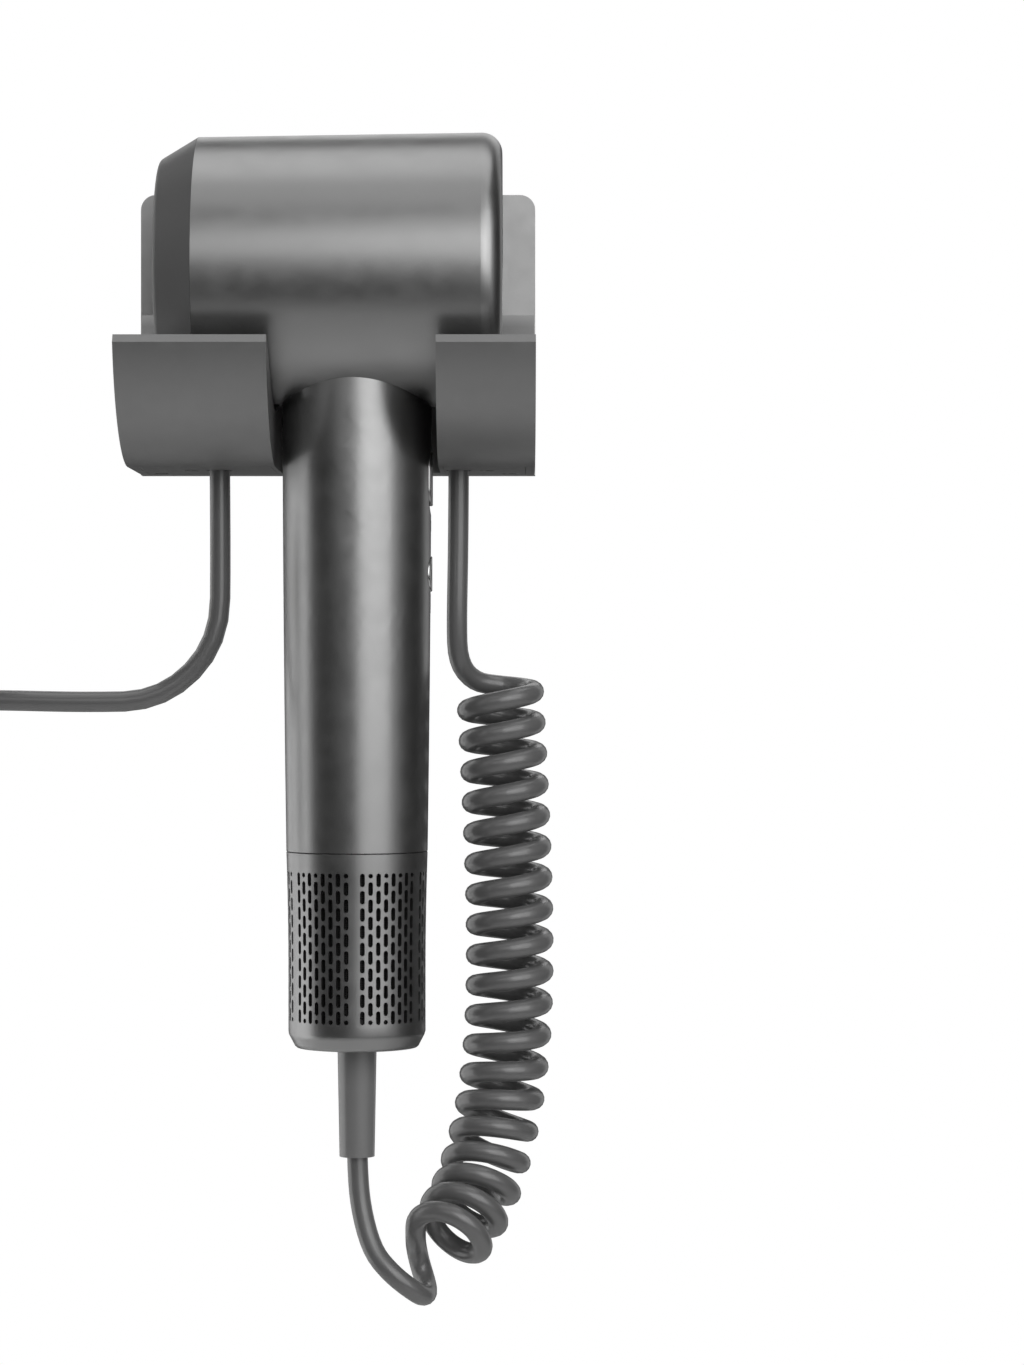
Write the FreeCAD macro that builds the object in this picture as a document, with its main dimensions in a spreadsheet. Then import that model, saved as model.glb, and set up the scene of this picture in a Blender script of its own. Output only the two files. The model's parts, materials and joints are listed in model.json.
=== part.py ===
import FreeCAD, Part
import math
import os

import Sketcher
from FreeCAD import Placement, Rotation, Vector

# Hair dryer hanging in its wall cradle. Millimetres, +Z up, +Y into the wall.
# The origin is the middle of the cradle's back plate, on the wall.
# The barrel lies along X and blows towards -X. The handle hangs along Z.

DIMENSIONS = {
    # places of the dryer in the cradle
    "dryer_depth": 45.0,  # barrel and handle axes, in front of the wall
    "head_rise": 14.0,  # barrel axis above the origin
    "handle_shift": 7.0,  # handle axis, right of the origin
    # cradle
    "plate_width": 112.0,
    "plate_height": 79.6,
    "plate_depth": 5.5,
    "plate_corner": 4.3,
    "bracket_width": 100.0,
    "bracket_height": 68.0,
    "bracket_thick": 2.0,
    "screw_rise": 22.0,
    "screw_span": 80.0,
    "screw_step": 20.0,
    "screw_hole": 2.25,
    "screw_access": 4.5,
    "arm_reach": 55.7,
    "gap_half": 22.3,
    "trough_radius": 38.4,
    "lip_angle": 32.0,
    "back_angle": 60.0,
    "lip_top": -7.1,
    "lip_bevel_drop": 2.1,
    "lip_bevel_depth": 1.3,
    "belly_radius": 42.1,
    "belly_depth": 46.3,
    "bridge_depth": 17.0,
    "cradle_wall": 2.5,
    "cradle_thin_wall": 1.2,
    "cover_thick": 2.2,
    "cover_front": 46.0,
    "cover_back": 8.0,
    "pad_arc": 24.0,
    # leads
    "cord_radius": 2.85,
    "exit_depth": 28.0,
    "supply_shift": -31.9,
    "curly_shift": 34.6,
    "curl_radius": 12.3,
    "ring_radius": 30.0,
    "bundle_radius": 7.0,
    "ring_shift": -145.0,
    "ring_drop": -134.0,
    "plug_shift": -115.0,
    "plug_depth": 31.0,
    # head, along its own axis from the origin's X
    "head_front": -46.4,
    "ring_joint": -35.8,
    "head_rear": 46.8,
    "head_front_radius": 36.2,
    "head_radius": 37.5,
    "head_inner": 34.2,
    "rim_fillet": 5.6,
    "outlet_radius": 29.9,
    "outlet_inner": 27.6,
    "bore_radius": 12.45,
    "bore_wall": 1.55,
    "disc_radius": 31.6,
    "bore_ring_radius": 16.5,
    "cap_radius": 3.2,
    "cap_side": 11.15,
    "cap_drop": 24.7,
    "duct_radius": 16.0,
    # handle, from its top down
    "handle_radius": 20.4,
    "handle_mid_radius": 19.9,
    "handle_mid": -100.0,
    "seam_radius": 19.33,
    "seam": -144.7,
    "handle_wall": 2.0,
    "sleeve_radius": 18.75,
    "sleeve_wall": 1.2,
    "sleeve_waist": -178.0,
    "sleeve_chamfer_top": -194.4,
    "sleeve_foot_radius": 16.7,
    "sleeve_foot": -198.4,
    "slot_width": 1.26,
    "slot_top": -150.0,
    "slot_bottom": -192.0,
    "relief_radius": 5.35,
    "relief_end_radius": 4.8,
    "relief_end": -228.3,
    "recess_width": 10.1,
    "recess_top": -35.05,
    "recess_bottom": -52.95,
    "recess_floor": 19.2,
    "slider_width": 9.3,
    "slider_top": -35.35,
    "slider_bottom": -50.45,
    "button_radius": 4.85,
    "button_height": -69.0,
    "button_clearance": 0.1,
    # motor
    "motor_outer": 15.6,
    "motor_inner": 14.4,
    "motor_top": -82.0,
    "motor_bottom": -128.0,
    "shaft_radius": 1.5,
    "bearing_clearance": 0.03,
    "bearing_radius": 4.0,
}

doc = FreeCAD.newDocument("HairDryer")
sheet = doc.addObject("Spreadsheet::Sheet", "Sheet")
for row, (alias, value) in enumerate(DIMENSIONS.items(), start=1):
    sheet.set(f"A{row}", alias)
    sheet.set(f"B{row}", str(value))
    sheet.setAlias(f"B{row}", alias)
doc.recompute()


class Length:
    """A size in millimetres, together with the spreadsheet formula that gives it."""

    def __init__(self, value, formula):
        self.value = value
        self.formula = formula

    def __add__(self, other):
        other = length(other)
        return Length(self.value + other.value, f"({self.formula} + {other.formula})")

    def __sub__(self, other):
        other = length(other)
        return Length(self.value - other.value, f"({self.formula} - {other.formula})")

    def __radd__(self, other):
        return length(other) + self

    def __rsub__(self, other):
        return length(other) - self

    def __mul__(self, factor):
        return Length(self.value * factor, f"({self.formula} * {factor})")

    def __neg__(self):
        return self * -1

    def __float__(self):
        return float(self.value)


def length(value):
    return value if isinstance(value, Length) else Length(float(value), f"({float(value)})")


def dim(alias):
    return Length(float(sheet.get(alias)), f"Sheet.{alias}")


AXIS_Y = -dim("dryer_depth")
HEAD_Z = dim("head_rise")
HANDLE_X = dim("handle_shift")
HEAD_AXIS = (0, AXIS_Y, HEAD_Z)
HANDLE_AXIS = (HANDLE_X, AXIS_Y, 0)
TURNS = {
    "Z": Rotation(),
    "X": Rotation(Vector(0, 1, 0), 90),
    "Y": Rotation(Vector(1, 0, 0), -90),
}
pieces = []


def piece(obj, label):
    """Names a finished sub-part and puts it on the list of those to export."""
    obj.Label = label
    pieces.append(obj)
    return obj


def place(obj, at, turn):
    obj.Placement = Placement(Vector(*(float(length(v)) for v in at)), turn)
    for axis, value in zip("xyz", at):
        obj.setExpression(f"Placement.Base.{axis}", length(value).formula)
    return obj


def bind(obj, **sizes):
    for name, value in sizes.items():
        obj.setExpression(name, length(value).formula)
    return obj


def cylinder(name, radius, height, at=(0, 0, 0), along="Z"):
    obj = bind(doc.addObject("Part::Cylinder", name), Radius=radius, Height=height)
    return place(obj, at, TURNS[along])


def cone(name, low, high, height, at, along="Z"):
    obj = bind(doc.addObject("Part::Cone", name), Radius1=low, Radius2=high, Height=height)
    return place(obj, at, TURNS[along])


def torus(name, ring, wire, at, along="Z"):
    obj = bind(doc.addObject("Part::Torus", name), Radius1=ring, Radius2=wire)
    return place(obj, at, TURNS[along])


def box(name, x, y, z):
    """A box between two limits on each axis."""
    obj = doc.addObject("Part::Box", name)
    spans = [length(high) - low for low, high in (x, y, z)]
    bind(obj, Length=spans[0], Width=spans[1], Height=spans[2])
    return place(obj, (x[0], y[0], z[0]), TURNS["Z"])


def spoke(name, around, reach, thick, low, high, degrees, start=0):
    """A flat radial bar on a vertical axis, turned about it."""
    obj = bind(doc.addObject("Part::Box", name), Length=length(reach) - start, Width=thick,
               Height=length(high) - low)
    angle = math.radians(degrees)
    inner = float(length(start))
    half = float(length(thick)) / 2
    shift_x = inner * math.cos(angle) + half * math.sin(angle)
    shift_y = inner * math.sin(angle) - half * math.cos(angle)
    at = (length(around[0]) + shift_x, length(around[1]) + shift_y, low)
    return place(obj, at, Rotation(Vector(0, 0, 1), degrees))


def cut(name, base, *tools):
    obj = doc.addObject("Part::Cut", name)
    obj.Base = base
    obj.Tool = tools[0] if len(tools) == 1 else fuse(name + "_tools", *tools)
    return obj


def fuse(name, *parts):
    obj = doc.addObject("Part::MultiFuse", name)
    obj.Shapes = list(parts)
    return obj


def common(name, *parts):
    obj = doc.addObject("Part::MultiCommon", name)
    obj.Shapes = list(parts)
    return obj


def group(name, *parts):
    """Identical loose pieces that share one node."""
    obj = doc.addObject("Part::Compound", name)
    obj.Links = list(parts)
    return obj


def tube(name, outer, inner, height, at=(0, 0, 0), along="Z"):
    wall = cylinder(name + "_outside", outer, height, at, along)
    hole = cylinder(name + "_inside", inner, height, at, along)
    return cut(name, wall, hole)


def solid(name, shape, at=(0, 0, 0)):
    """A sub-part or tool whose shape is worked out below from the sheet's sizes."""
    obj = doc.addObject("Part::Feature", name)
    obj.Shape = shape
    return place(obj, at, TURNS["Z"])


def sketch_on(body, name, role):
    plane = next(p for p in body.Origin.OriginFeatures if p.Role == role)
    sketch = body.newObject("Sketcher::SketchObject", name)
    sketch.AttachmentSupport = [(plane, "")]
    sketch.MapMode = "FlatFace"
    return sketch


def outline(sketch, corners):
    """A closed polygon whose every corner is driven from the sheet."""
    points = [Vector(float(length(a)), float(length(b)), 0) for a, b in corners]
    for i, point in enumerate(points):
        sketch.addGeometry(Part.LineSegment(point, points[(i + 1) % len(points)]), False)
    for i, (a, b) in enumerate(corners):
        after = (i + 1) % len(corners)
        sketch.addConstraint(Sketcher.Constraint("Coincident", i, 2, after, 1))
        for kind, value in (("DistanceX", length(a)), ("DistanceY", length(b))):
            number = sketch.addConstraint(Sketcher.Constraint(kind, -1, 1, i, 1, value.value))
            sketch.setExpression(f"Constraints[{number}]", value.formula)


def turned(name, profile, at=(0, 0, 0), along="Z"):
    """A turned body: its profile is a list of (radius, distance along the axis)."""
    body = doc.addObject("PartDesign::Body", name)
    sketch = sketch_on(body, name + "_profile", "XZ_Plane")
    outline(sketch, profile)
    spin = body.newObject("PartDesign::Revolution", name + "_turned")
    spin.Profile = sketch
    spin.ReferenceAxis = (sketch, ["V_Axis"])
    spin.Angle = 360
    body.Tip = spin
    return place(body, at, TURNS[along])


def slab(name, corners, low, high):
    """A flat body with the given outline in XY, between two heights."""
    body = doc.addObject("PartDesign::Body", name)
    sketch = sketch_on(body, name + "_outline", "XY_Plane")
    outline(sketch, corners)
    pad = body.newObject("PartDesign::Pad", name + "_pad")
    pad.Profile = sketch
    bind(pad, Length=length(high) - low)
    body.Tip = pad
    return place(body, (0, 0, low), TURNS["Z"])


def soften(body, radius, chosen):
    """Rounds the body's edges that the test picks."""
    doc.recompute()
    base = body.Tip
    names = [f"Edge{i}" for i, edge in enumerate(base.Shape.Edges, start=1) if chosen(edge)]
    fillet = body.newObject("PartDesign::Fillet", body.Name + "_fillet")
    fillet.Base = (base, names)
    bind(fillet, Radius=radius)
    body.Tip = fillet
    return body


def is_circle(edge, radius, height=None):
    """Tells whether an edge is a full circle of this radius, at this height of its own axis."""
    curve = edge.Curve
    if curve.TypeId != "Part::GeomCircle" or abs(curve.Radius - float(radius)) > 0.01:
        return False
    return height is None or abs(curve.Center.z - float(height)) < 0.01


# ---------------------------------------------------------------------------- leads


def cord(points, radius):
    """A round cord along straight runs joined by tangent arcs, with its length and arc radii."""
    points = [Vector(*p) for p in points]
    runs = [b - a for a, b in zip(points, points[1:])]
    edges = []
    radii = []
    start = points[0]
    for before, corner, after in zip(runs, points[1:], runs[1:]):
        turn = before.getAngle(after)
        reach = 0.45 * min(before.Length, after.Length)
        radii.append(reach / math.tan(turn / 2))
        enter = corner - before.normalize() * reach
        leave = corner + Vector(after).normalize() * reach
        middle_way = (enter + leave) * 0.5 - corner
        depth = radii[-1] / math.cos(turn / 2) - radii[-1]
        middle = corner + middle_way.normalize() * depth
        edges.append(Part.LineSegment(start, enter).toShape())
        edges.append(Part.Arc(enter, middle, leave).toShape())
        start = leave
    edges.append(Part.LineSegment(start, points[-1]).toShape())
    path = Part.Wire(edges)
    ring = Part.Wire([Part.makeCircle(radius, points[0], edges[0].tangentAt(0))])
    shape = path.makePipeShell([ring], True, False)
    expected = math.pi * radius**2 * path.Length
    print(f"cord of {path.Length:.0f} mm, volume ratio {shape.Volume / expected:.4f},"
          f" tightest arc {min(radii):.1f} mm")
    return shape


CORD_RADIUS = float(dim("cord_radius"))
EXIT_Y = -float(dim("exit_depth"))
SUPPLY_X = float(dim("supply_shift"))
CURLY_X = float(dim("curly_shift"))

# Down out of the left arm, round to the left and along the wall to the put-away coil.
SUPPLY_ROUTE = [
    (SUPPLY_X, EXIT_Y, -34.0),
    (-31.6, -28.3, -63.0),
    (-31.9, -28.4, -87.9),
    (-47.8, -28.2, -103.8),
    (-70.5, -27.8, -104.2),
    (-93.5, -25.0, -103.6),
    (-117.0, -21.5, -104.6),
    (-141.0, -25.0, -104.0),
]
# Off the right side of the coil and up into the plug.
TAIL_ROUTE = [(-115.3, -30.6, -128.0), (-114.8, -31.3, -115.0), (-115.0, -31.0, -101.0)]
# Down out of the right arm and into the back of the first curl.
LEAD_ROUTE = [
    (CURLY_X, EXIT_Y, -34.0),
    (34.3, -28.3, -60.0),
    (34.2, -27.8, -84.0),
    (39.5, -24.0, -98.0),
]
# The middle line of the curls: down, then round towards the handle and the front.
CURL_ROUTE = [
    (47.0, -28.0, -93.0),
    (49.3, -28.0, -140.0),
    (49.7, -28.3, -185.0),
    (46.5, -31.0, -214.0),
    (40.5, -38.0, -234.0),
    (33.2, -51.5, -247.5),
]
# From the last curl down, round in a tight fold and up into the handle.
FOLD_ROUTE = [
    (24.4, -50.6, -245.6),
    (24.6, -45.0, -250.6),
    (26.2, -39.8, -256.6),
    (26.6, -39.5, -262.3),
    (24.2, -42.5, -266.3),
    (20.8, -46.8, -266.8),
    (18.0, -50.2, -263.5),
    (15.7, -49.8, -258.6),
    (11.0, -47.6, -250.2),
    (7.9, -45.6, -240.6),
    (7.0, -45.0, -228.6),
]


def leads():
    piece(solid("supply_cord", cord(SUPPLY_ROUTE, CORD_RADIUS)), "supply_cord")
    piece(solid("supply_tail", cord(TAIL_ROUTE, CORD_RADIUS)), "supply_tail")
    piece(solid("curly_lead", cord(LEAD_ROUTE, CORD_RADIUS)), "curly_lead")
    piece(solid("curly_coil", cord(CURL_ROUTE, float(dim("curl_radius")))), "curly_coil")
    piece(solid("curly_tail", cord(FOLD_ROUTE, CORD_RADIUS)), "curly_tail")

    middle = (dim("ring_shift"), -dim("exit_depth"), dim("ring_drop"))
    bundle = dim("bundle_radius")
    piece(torus("supply_coil", dim("ring_radius"), bundle, middle, "Y"), "supply_coil")
    low = (middle[0] - 4, middle[1], middle[2] - dim("ring_radius"))
    piece(tube("supply_tie", bundle + 1, bundle + 0.05, 8, low, "X"), "supply_tie")
    plug()


def plug():
    """A flat side-entry plug with two round pins, its lead leaving downwards."""
    x, y = dim("plug_shift"), -dim("plug_depth")
    shell = doc.addObject("PartDesign::Body", "plug_shell")
    sketch = sketch_on(shell, "plug_outline", "XZ_Plane")
    outline(sketch, [(-19, -90), (19, -90), (19, -62), (9, -50), (-9, -50), (-19, -62)])
    pad = shell.newObject("PartDesign::Pad", "plug_pad")
    pad.Profile = sketch
    pad.Length = 16
    pad.Midplane = True
    shell.Tip = pad
    place(shell, (x, y, 0), TURNS["Z"])
    soften(shell, 2.5, lambda edge: True)
    stub = cone("plug_stub", 3.9, 5.5, 13, (x, y, -102.5))
    bore = cylinder("plug_bore", dim("cord_radius") + 0.02, 2, (x, y, -102.6))
    piece(cut("plug_whole", fuse("plug_joined", shell, stub), bore), "plug_body")
    pins = [cylinder(f"pin_{i}", 2.4, 19, (x + side, y + 8, -70), "Y") for i, side in enumerate((-9.5, 9.5))]
    piece(group("plug_pins", *pins), "plug_pins")


# ---------------------------------------------------------------------------- cradle


def section(points_and_arcs, left, right):
    """Extrudes a section in the YZ plane: a plain pair is a corner, a triple starts an arc."""
    edges = []
    start = points_and_arcs[0]
    for item in points_and_arcs[1:]:
        if len(item) == 2:
            ends = [Vector(left, *p) for p in (start, item)]
            edges.append(Part.LineSegment(*ends).toShape())
            start = item
        else:
            middle, end = item[1:]
            edges.append(Part.Arc(*(Vector(left, *p) for p in (start, middle, end))).toShape())
            start = end
    return Part.Face(Part.Wire(edges)).extrude(Vector(right - left, 0, 0))


def on_circle(centre, radius, degrees):
    """A point of the YZ plane, its angle measured from straight down towards the wall."""
    angle = math.radians(degrees)
    return (centre[0] + radius * math.sin(angle), centre[1] - radius * math.cos(angle))


def arm_section(left, right):
    """The arms' section: trough, flared lip with its bevel, round belly and flat bottom."""
    axis = (float(AXIS_Y), float(HEAD_Z))
    trough = float(dim("trough_radius"))
    lip = float(dim("lip_angle"))
    back = float(dim("back_angle"))
    top = float(dim("lip_top"))
    bottom = -float(dim("plate_height")) / 2
    front_of_plate = -float(dim("plate_depth"))
    belly = float(dim("belly_radius"))
    belly_middle = (-float(dim("belly_depth")), bottom + belly)

    lip_start = on_circle(axis, trough, -lip)
    lip_run = (top - lip_start[1]) / math.tan(math.radians(lip))
    lip_inner = (lip_start[0] - lip_run, top)
    bevel_low = top - float(dim("lip_bevel_drop"))
    bevel_angle = -math.degrees(math.acos((belly_middle[1] - bevel_low) / belly))
    bevel_outer = on_circle(belly_middle, belly, bevel_angle)
    lip_outer = (bevel_outer[0] + float(dim("lip_bevel_depth")), top)
    back_start = on_circle(axis, trough, back)
    back_rise = (front_of_plate - back_start[0]) * math.tan(math.radians(back))
    return section([
        (-0.5, bottom),
        (-0.5, back_start[1] + back_rise),
        (front_of_plate, back_start[1] + back_rise),
        back_start,
        ("arc", on_circle(axis, trough, (back - lip) / 2), lip_start),
        lip_inner,
        lip_outer,
        bevel_outer,
        ("arc", on_circle(belly_middle, belly, bevel_angle / 2), (belly_middle[0], bottom)),
        (-0.5, bottom),
    ], left, right)


def wiring_space(left, right):
    """The hollow under the troughs, open at the bottom."""
    bottom = -float(dim("plate_height")) / 2
    front = -float(dim("cover_front"))
    back = -float(dim("cover_back"))
    return section([
        (back, bottom - 1), (back, -8.0), (-17.0, -15.5), (-28.0, -24.0), (-45.0, -27.2), (-62.0, -24.0),
        (-62.0, -31.0), (front, -37.3), (front, bottom - 1), (back, bottom - 1),
    ], left, right)


COVER_SCREWS = [(-39.5, -28.0), (-49.0, -13.0), (42.4, -28.0), (49.0, -13.0)]


def cradle():
    reach = float(dim("arm_reach"))
    gap = (float(HANDLE_X - dim("gap_half")), float(HANDLE_X + dim("gap_half")))
    half_wide = dim("plate_width") * 0.5
    half_high = dim("plate_height") * 0.5
    depth = dim("plate_depth")
    bottom = -half_high
    bridge = dim("bridge_depth")
    wall = dim("cradle_wall")
    thin = dim("cradle_thin_wall")

    # back plate with round corners
    plate = doc.addObject("PartDesign::Body", "plate")
    sketch = sketch_on(plate, "plate_outline", "XZ_Plane")
    corners = [(-half_wide, bottom), (half_wide, bottom), (half_wide, half_high), (-half_wide, half_high)]
    outline(sketch, corners)
    pad = plate.newObject("PartDesign::Pad", "plate_pad")
    pad.Profile = sketch
    bind(pad, Length=depth)
    plate.Tip = pad
    soften(plate, dim("plate_corner"), lambda edge: edge.BoundBox.YLength > 1 and edge.BoundBox.ZMax > 0)

    arms = solid("arms", arm_section(-reach, reach))
    handle_gap = box("handle_gap", gap, (-100, -bridge), (-60, 0))
    hollow = solid("hollow", wiring_space(-reach + float(wall), reach - float(wall)))
    gap_walls = box("gap_walls", (gap[0] - thin, gap[1] + thin), (-100, -bridge + wall), (-60, 0))
    bosses = fuse("bosses", *(
        cylinder(f"boss_{i}", 3.0, 34, (x, y, bottom + dim("cover_thick") + 0.1))
        for i, (x, y) in enumerate(COVER_SCREWS)))
    boss_room = solid("boss_room", wiring_space(-reach + float(wall), reach - float(wall)))
    boss_trim = common("boss_trim", bosses, boss_room)
    screw_bores = fuse("screw_bores", *(
        cylinder(f"screw_bore_{i}", 1.55, 9, (x, y, bottom)) for i, (x, y) in enumerate(COVER_SCREWS)))
    bracket_half = dim("bracket_width") * 0.5 + 0.15
    bracket_rise = dim("bracket_height") * 0.5 + 0.15
    pocket = box("bracket_pocket", (-bracket_half, bracket_half), (-dim("bracket_thick") - 0.05, 1),
                 (-bracket_rise, bracket_rise))
    access = wall_holes("access", dim("screw_access"), -10, 12)
    body = cut("shell_outside", fuse("plate_and_arms", plate, arms), handle_gap, pocket, access)
    room = cut("shell_room", hollow, gap_walls)
    body = fuse("shell_bossed", cut("shell_hollowed", body, room), boss_trim)
    piece(cut("cradle_shell", body, screw_bores), "cradle_shell")

    bracket = box("bracket_plate", (-bracket_half + 0.15, bracket_half - 0.15), (-dim("bracket_thick"), 0),
                  (-bracket_rise + 0.15, bracket_rise - 0.15))
    holes = wall_holes("bracket_hole", dim("screw_hole"), -10, 12)
    piece(cut("wall_bracket", bracket, holes), "wall_bracket")
    cradle_cover(gap, reach, bottom, thin, wall, bridge)
    cradle_inside(bottom)


def wall_holes(name, radius, low, depth):
    half = dim("screw_span") * 0.5
    step = dim("screw_step") * 0.5
    rise = dim("screw_rise")
    holes = []
    for i, (x, z) in enumerate(((-half, rise - step), (half, rise - step), (-half, rise + step), (half, rise + step))):
        holes.append(cylinder(f"{name}_{i}", radius, depth, (x, low, z), "Y"))
    return fuse(name + "s", *holes)


def cradle_cover(gap, reach, bottom, thin, wall, bridge):
    """The U-shaped underside cover, with holes for the two grommets and its screws."""
    clear = 0.1
    left = length(-reach) + wall + clear
    right = length(reach) - wall - clear
    front = -dim("cover_front") + clear
    back = -dim("cover_back") - clear
    inner_left = length(gap[0]) - thin - clear
    inner_right = length(gap[1]) + thin + clear
    inner_front = -bridge + wall + clear
    plate = slab("cover_plate", [
        (left, front), (inner_left, front), (inner_left, inner_front), (inner_right, inner_front),
        (inner_right, front), (right, front), (right, back), (left, back),
    ], bottom, bottom + dim("cover_thick"))
    exits = (dim("supply_shift"), dim("curly_shift"))
    holes = [cylinder(f"gland_hole_{i}", 3.65, 6, (x, -dim("exit_depth"), bottom - 1)) for i, x in enumerate(exits)]
    for i, (x, y) in enumerate(COVER_SCREWS):
        holes.append(cylinder(f"cover_hole_{i}", 1.6, 6, (x, y, bottom - 1)))
        holes.append(cylinder(f"cover_sink_{i}", 2.3, 2.2, (x, y, bottom - 1)))
    piece(cut("bottom_cover", plate, *holes), "bottom_cover")

    screws = []
    for i, (x, y) in enumerate(COVER_SCREWS):
        shank = cylinder(f"cover_shank_{i}", 1.5, 7.2, (x, y, bottom + 1.0))
        head = cylinder(f"cover_head_{i}", 2.2, 0.9, (x, y, bottom + 0.2))
        drive = box(f"cover_drive_{i}", (x - 0.4, x + 0.4), (y - 1.6, y + 1.6), (bottom - 1, bottom + 0.65))
        screws.append(cut(f"cover_screw_{i}", fuse(f"cover_blank_{i}", shank, head), drive))
    piece(group("cover_screws", *screws), "cover_screws")


def cradle_inside(bottom):
    """Grommets, cord anchorages, rests and the link between the two leads."""
    y = -dim("exit_depth")
    hole = dim("cord_radius") + 0.2
    top = bottom + dim("cover_thick")
    glands = []
    clamps = []
    for i, x in enumerate((dim("supply_shift"), dim("curly_shift"))):
        glands.append(turned(f"gland_{i}", [
            (hole, bottom + 0.05), (3.6, bottom + 0.05), (3.6, top), (4.0, top), (4.0, top + 1.4), (hole, top + 1.4),
        ], (x, y, 0)))
        block = box(f"clamp_block_{i}", (x - 4, x + 4), (y - 5, y + 5), (top + 1.5, top + 5.0))
        clamps.append(cut(f"clamp_{i}", block, cylinder(f"clamp_bore_{i}", hole, 20, (x, y, bottom))))
    piece(group("cord_glands", *glands), "cord_glands")
    piece(group("cradle_clamps", *clamps), "cradle_clamps")
    piece(box("terminal_block", (-52, -44), (-44, -20), (top + 0.1, -29)), "terminal_block")
    wires = [cylinder(f"link_wire_{i}", 0.9, 88, (-44, -11, height), "X") for i, height in enumerate((-35, -32.5, -30))]
    piece(group("link_wires", *wires), "link_wires")

    trough = dim("trough_radius")
    for name, rest, left, right in (("left_pad", 36.75, -31, -19), ("right_pad", 37.62, 33, 45)):
        ring = tube(name + "_ring", trough, rest, right - left, (left, AXIS_Y, HEAD_Z), "X")
        half = trough.value * math.sin(math.radians(DIMENSIONS["pad_arc"]))
        sector = box(name + "_sector", (left, right), (AXIS_Y - half, AXIS_Y + half), (HEAD_Z - 40, HEAD_Z - 33))
        piece(common(name + "_pad", ring, sector), name)


# ---------------------------------------------------------------------------- head


def head():
    front, joint, rear = dim("head_front"), dim("ring_joint"), dim("head_rear")
    inner = dim("head_inner")
    seat = dim("disc_radius") + 0.1
    bore = dim("bore_radius")

    shell = turned("barrel", [
        (dim("head_front_radius"), joint), (dim("head_radius"), rear), (seat, rear), (seat, rear - 3.9),
        (inner, rear - 6.3), (inner, joint),
    ], HEAD_AXIS, "X")
    soften(shell, dim("rim_fillet"), lambda edge: is_circle(edge, dim("head_radius"), rear))
    duct = cylinder("head_duct", dim("duct_radius"), 20, (HANDLE_X, AXIS_Y, HEAD_Z - 45))
    bosses = []
    bores = []
    for i, side in enumerate((-1, 1)):
        y = AXIS_Y + dim("cap_side") * side
        z = HEAD_Z - dim("cap_drop")
        bosses.append(cylinder(f"rear_boss_{i}", 3.4, 8, (rear - 16.2, y, z), "X"))
        bosses.append(box(f"rear_rib_{i}", (rear - 16.2, rear - 8.2), (y - 1, y + 1), (z - 9, z)))
        bores.append(cylinder(f"rear_bore_{i}", 1.5, 10, (rear - 17.2, y, z), "X"))
    ducted = cut("barrel_ducted", shell, duct)
    piece(cut("head_shell", fuse("barrel_bossed", ducted, *bosses), *bores), "head_shell")

    lip = dim("outlet_inner")
    ring = turned("outlet_ring", [
        (dim("outlet_radius"), front), (dim("head_front_radius"), joint - 0.05), (inner - 0.1, joint - 0.05),
        (inner - 0.1, joint + 4.8), (inner - 1.6, joint + 4.8), (inner - 1.6, joint - 0.7), (lip, front + 2.4),
        (lip, front),
    ], HEAD_AXIS, "X")
    soften(ring, 2.0, lambda edge: is_circle(edge, dim("outlet_radius"), front))
    piece(ring, "front_ring")
    piece(tube("magnet_ring", lip + 2.4, lip + 0.1, 3, (front + 6.4, AXIS_Y, HEAD_Z), "X"), "magnet_ring")
    outlet_grille(front)

    liner = bore + dim("bore_wall")
    piece(tube("bore_tube", liner, bore, rear - front - 3.8, (front + 1.2, AXIS_Y, HEAD_Z), "X"), "bore_tube")
    heater(liner)
    piece(box("ioniser", (12, 32), (AXIS_Y - 8, AXIS_Y + 8), (HEAD_Z + 19, HEAD_Z + 30)), "ioniser")
    rear_closure(rear, bore, liner)


def outlet_grille(front):
    """A disc of radial slots between the bore and the outlet ring."""
    count = 24
    plate = tube("grille_plate", dim("outlet_inner") - 0.1, dim("bore_radius") + dim("bore_wall") + 0.05, 2,
                 (front + 2.9, AXIS_Y, HEAD_Z), "X")
    blade = Part.makeBox(10, 1.7, 9.2, Vector(float(front), -0.85, 16.2))
    slots = []
    for i in range(count):
        slot = blade.copy()
        slot.rotate(Vector(0, 0, 0), Vector(1, 0, 0), i * 360 / count)
        slots.append(slot)
    slots = solid("grille_slots", Part.makeCompound(slots), HEAD_AXIS)
    piece(cut("outlet_grille", plate, slots), "outlet_grille")


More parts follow.
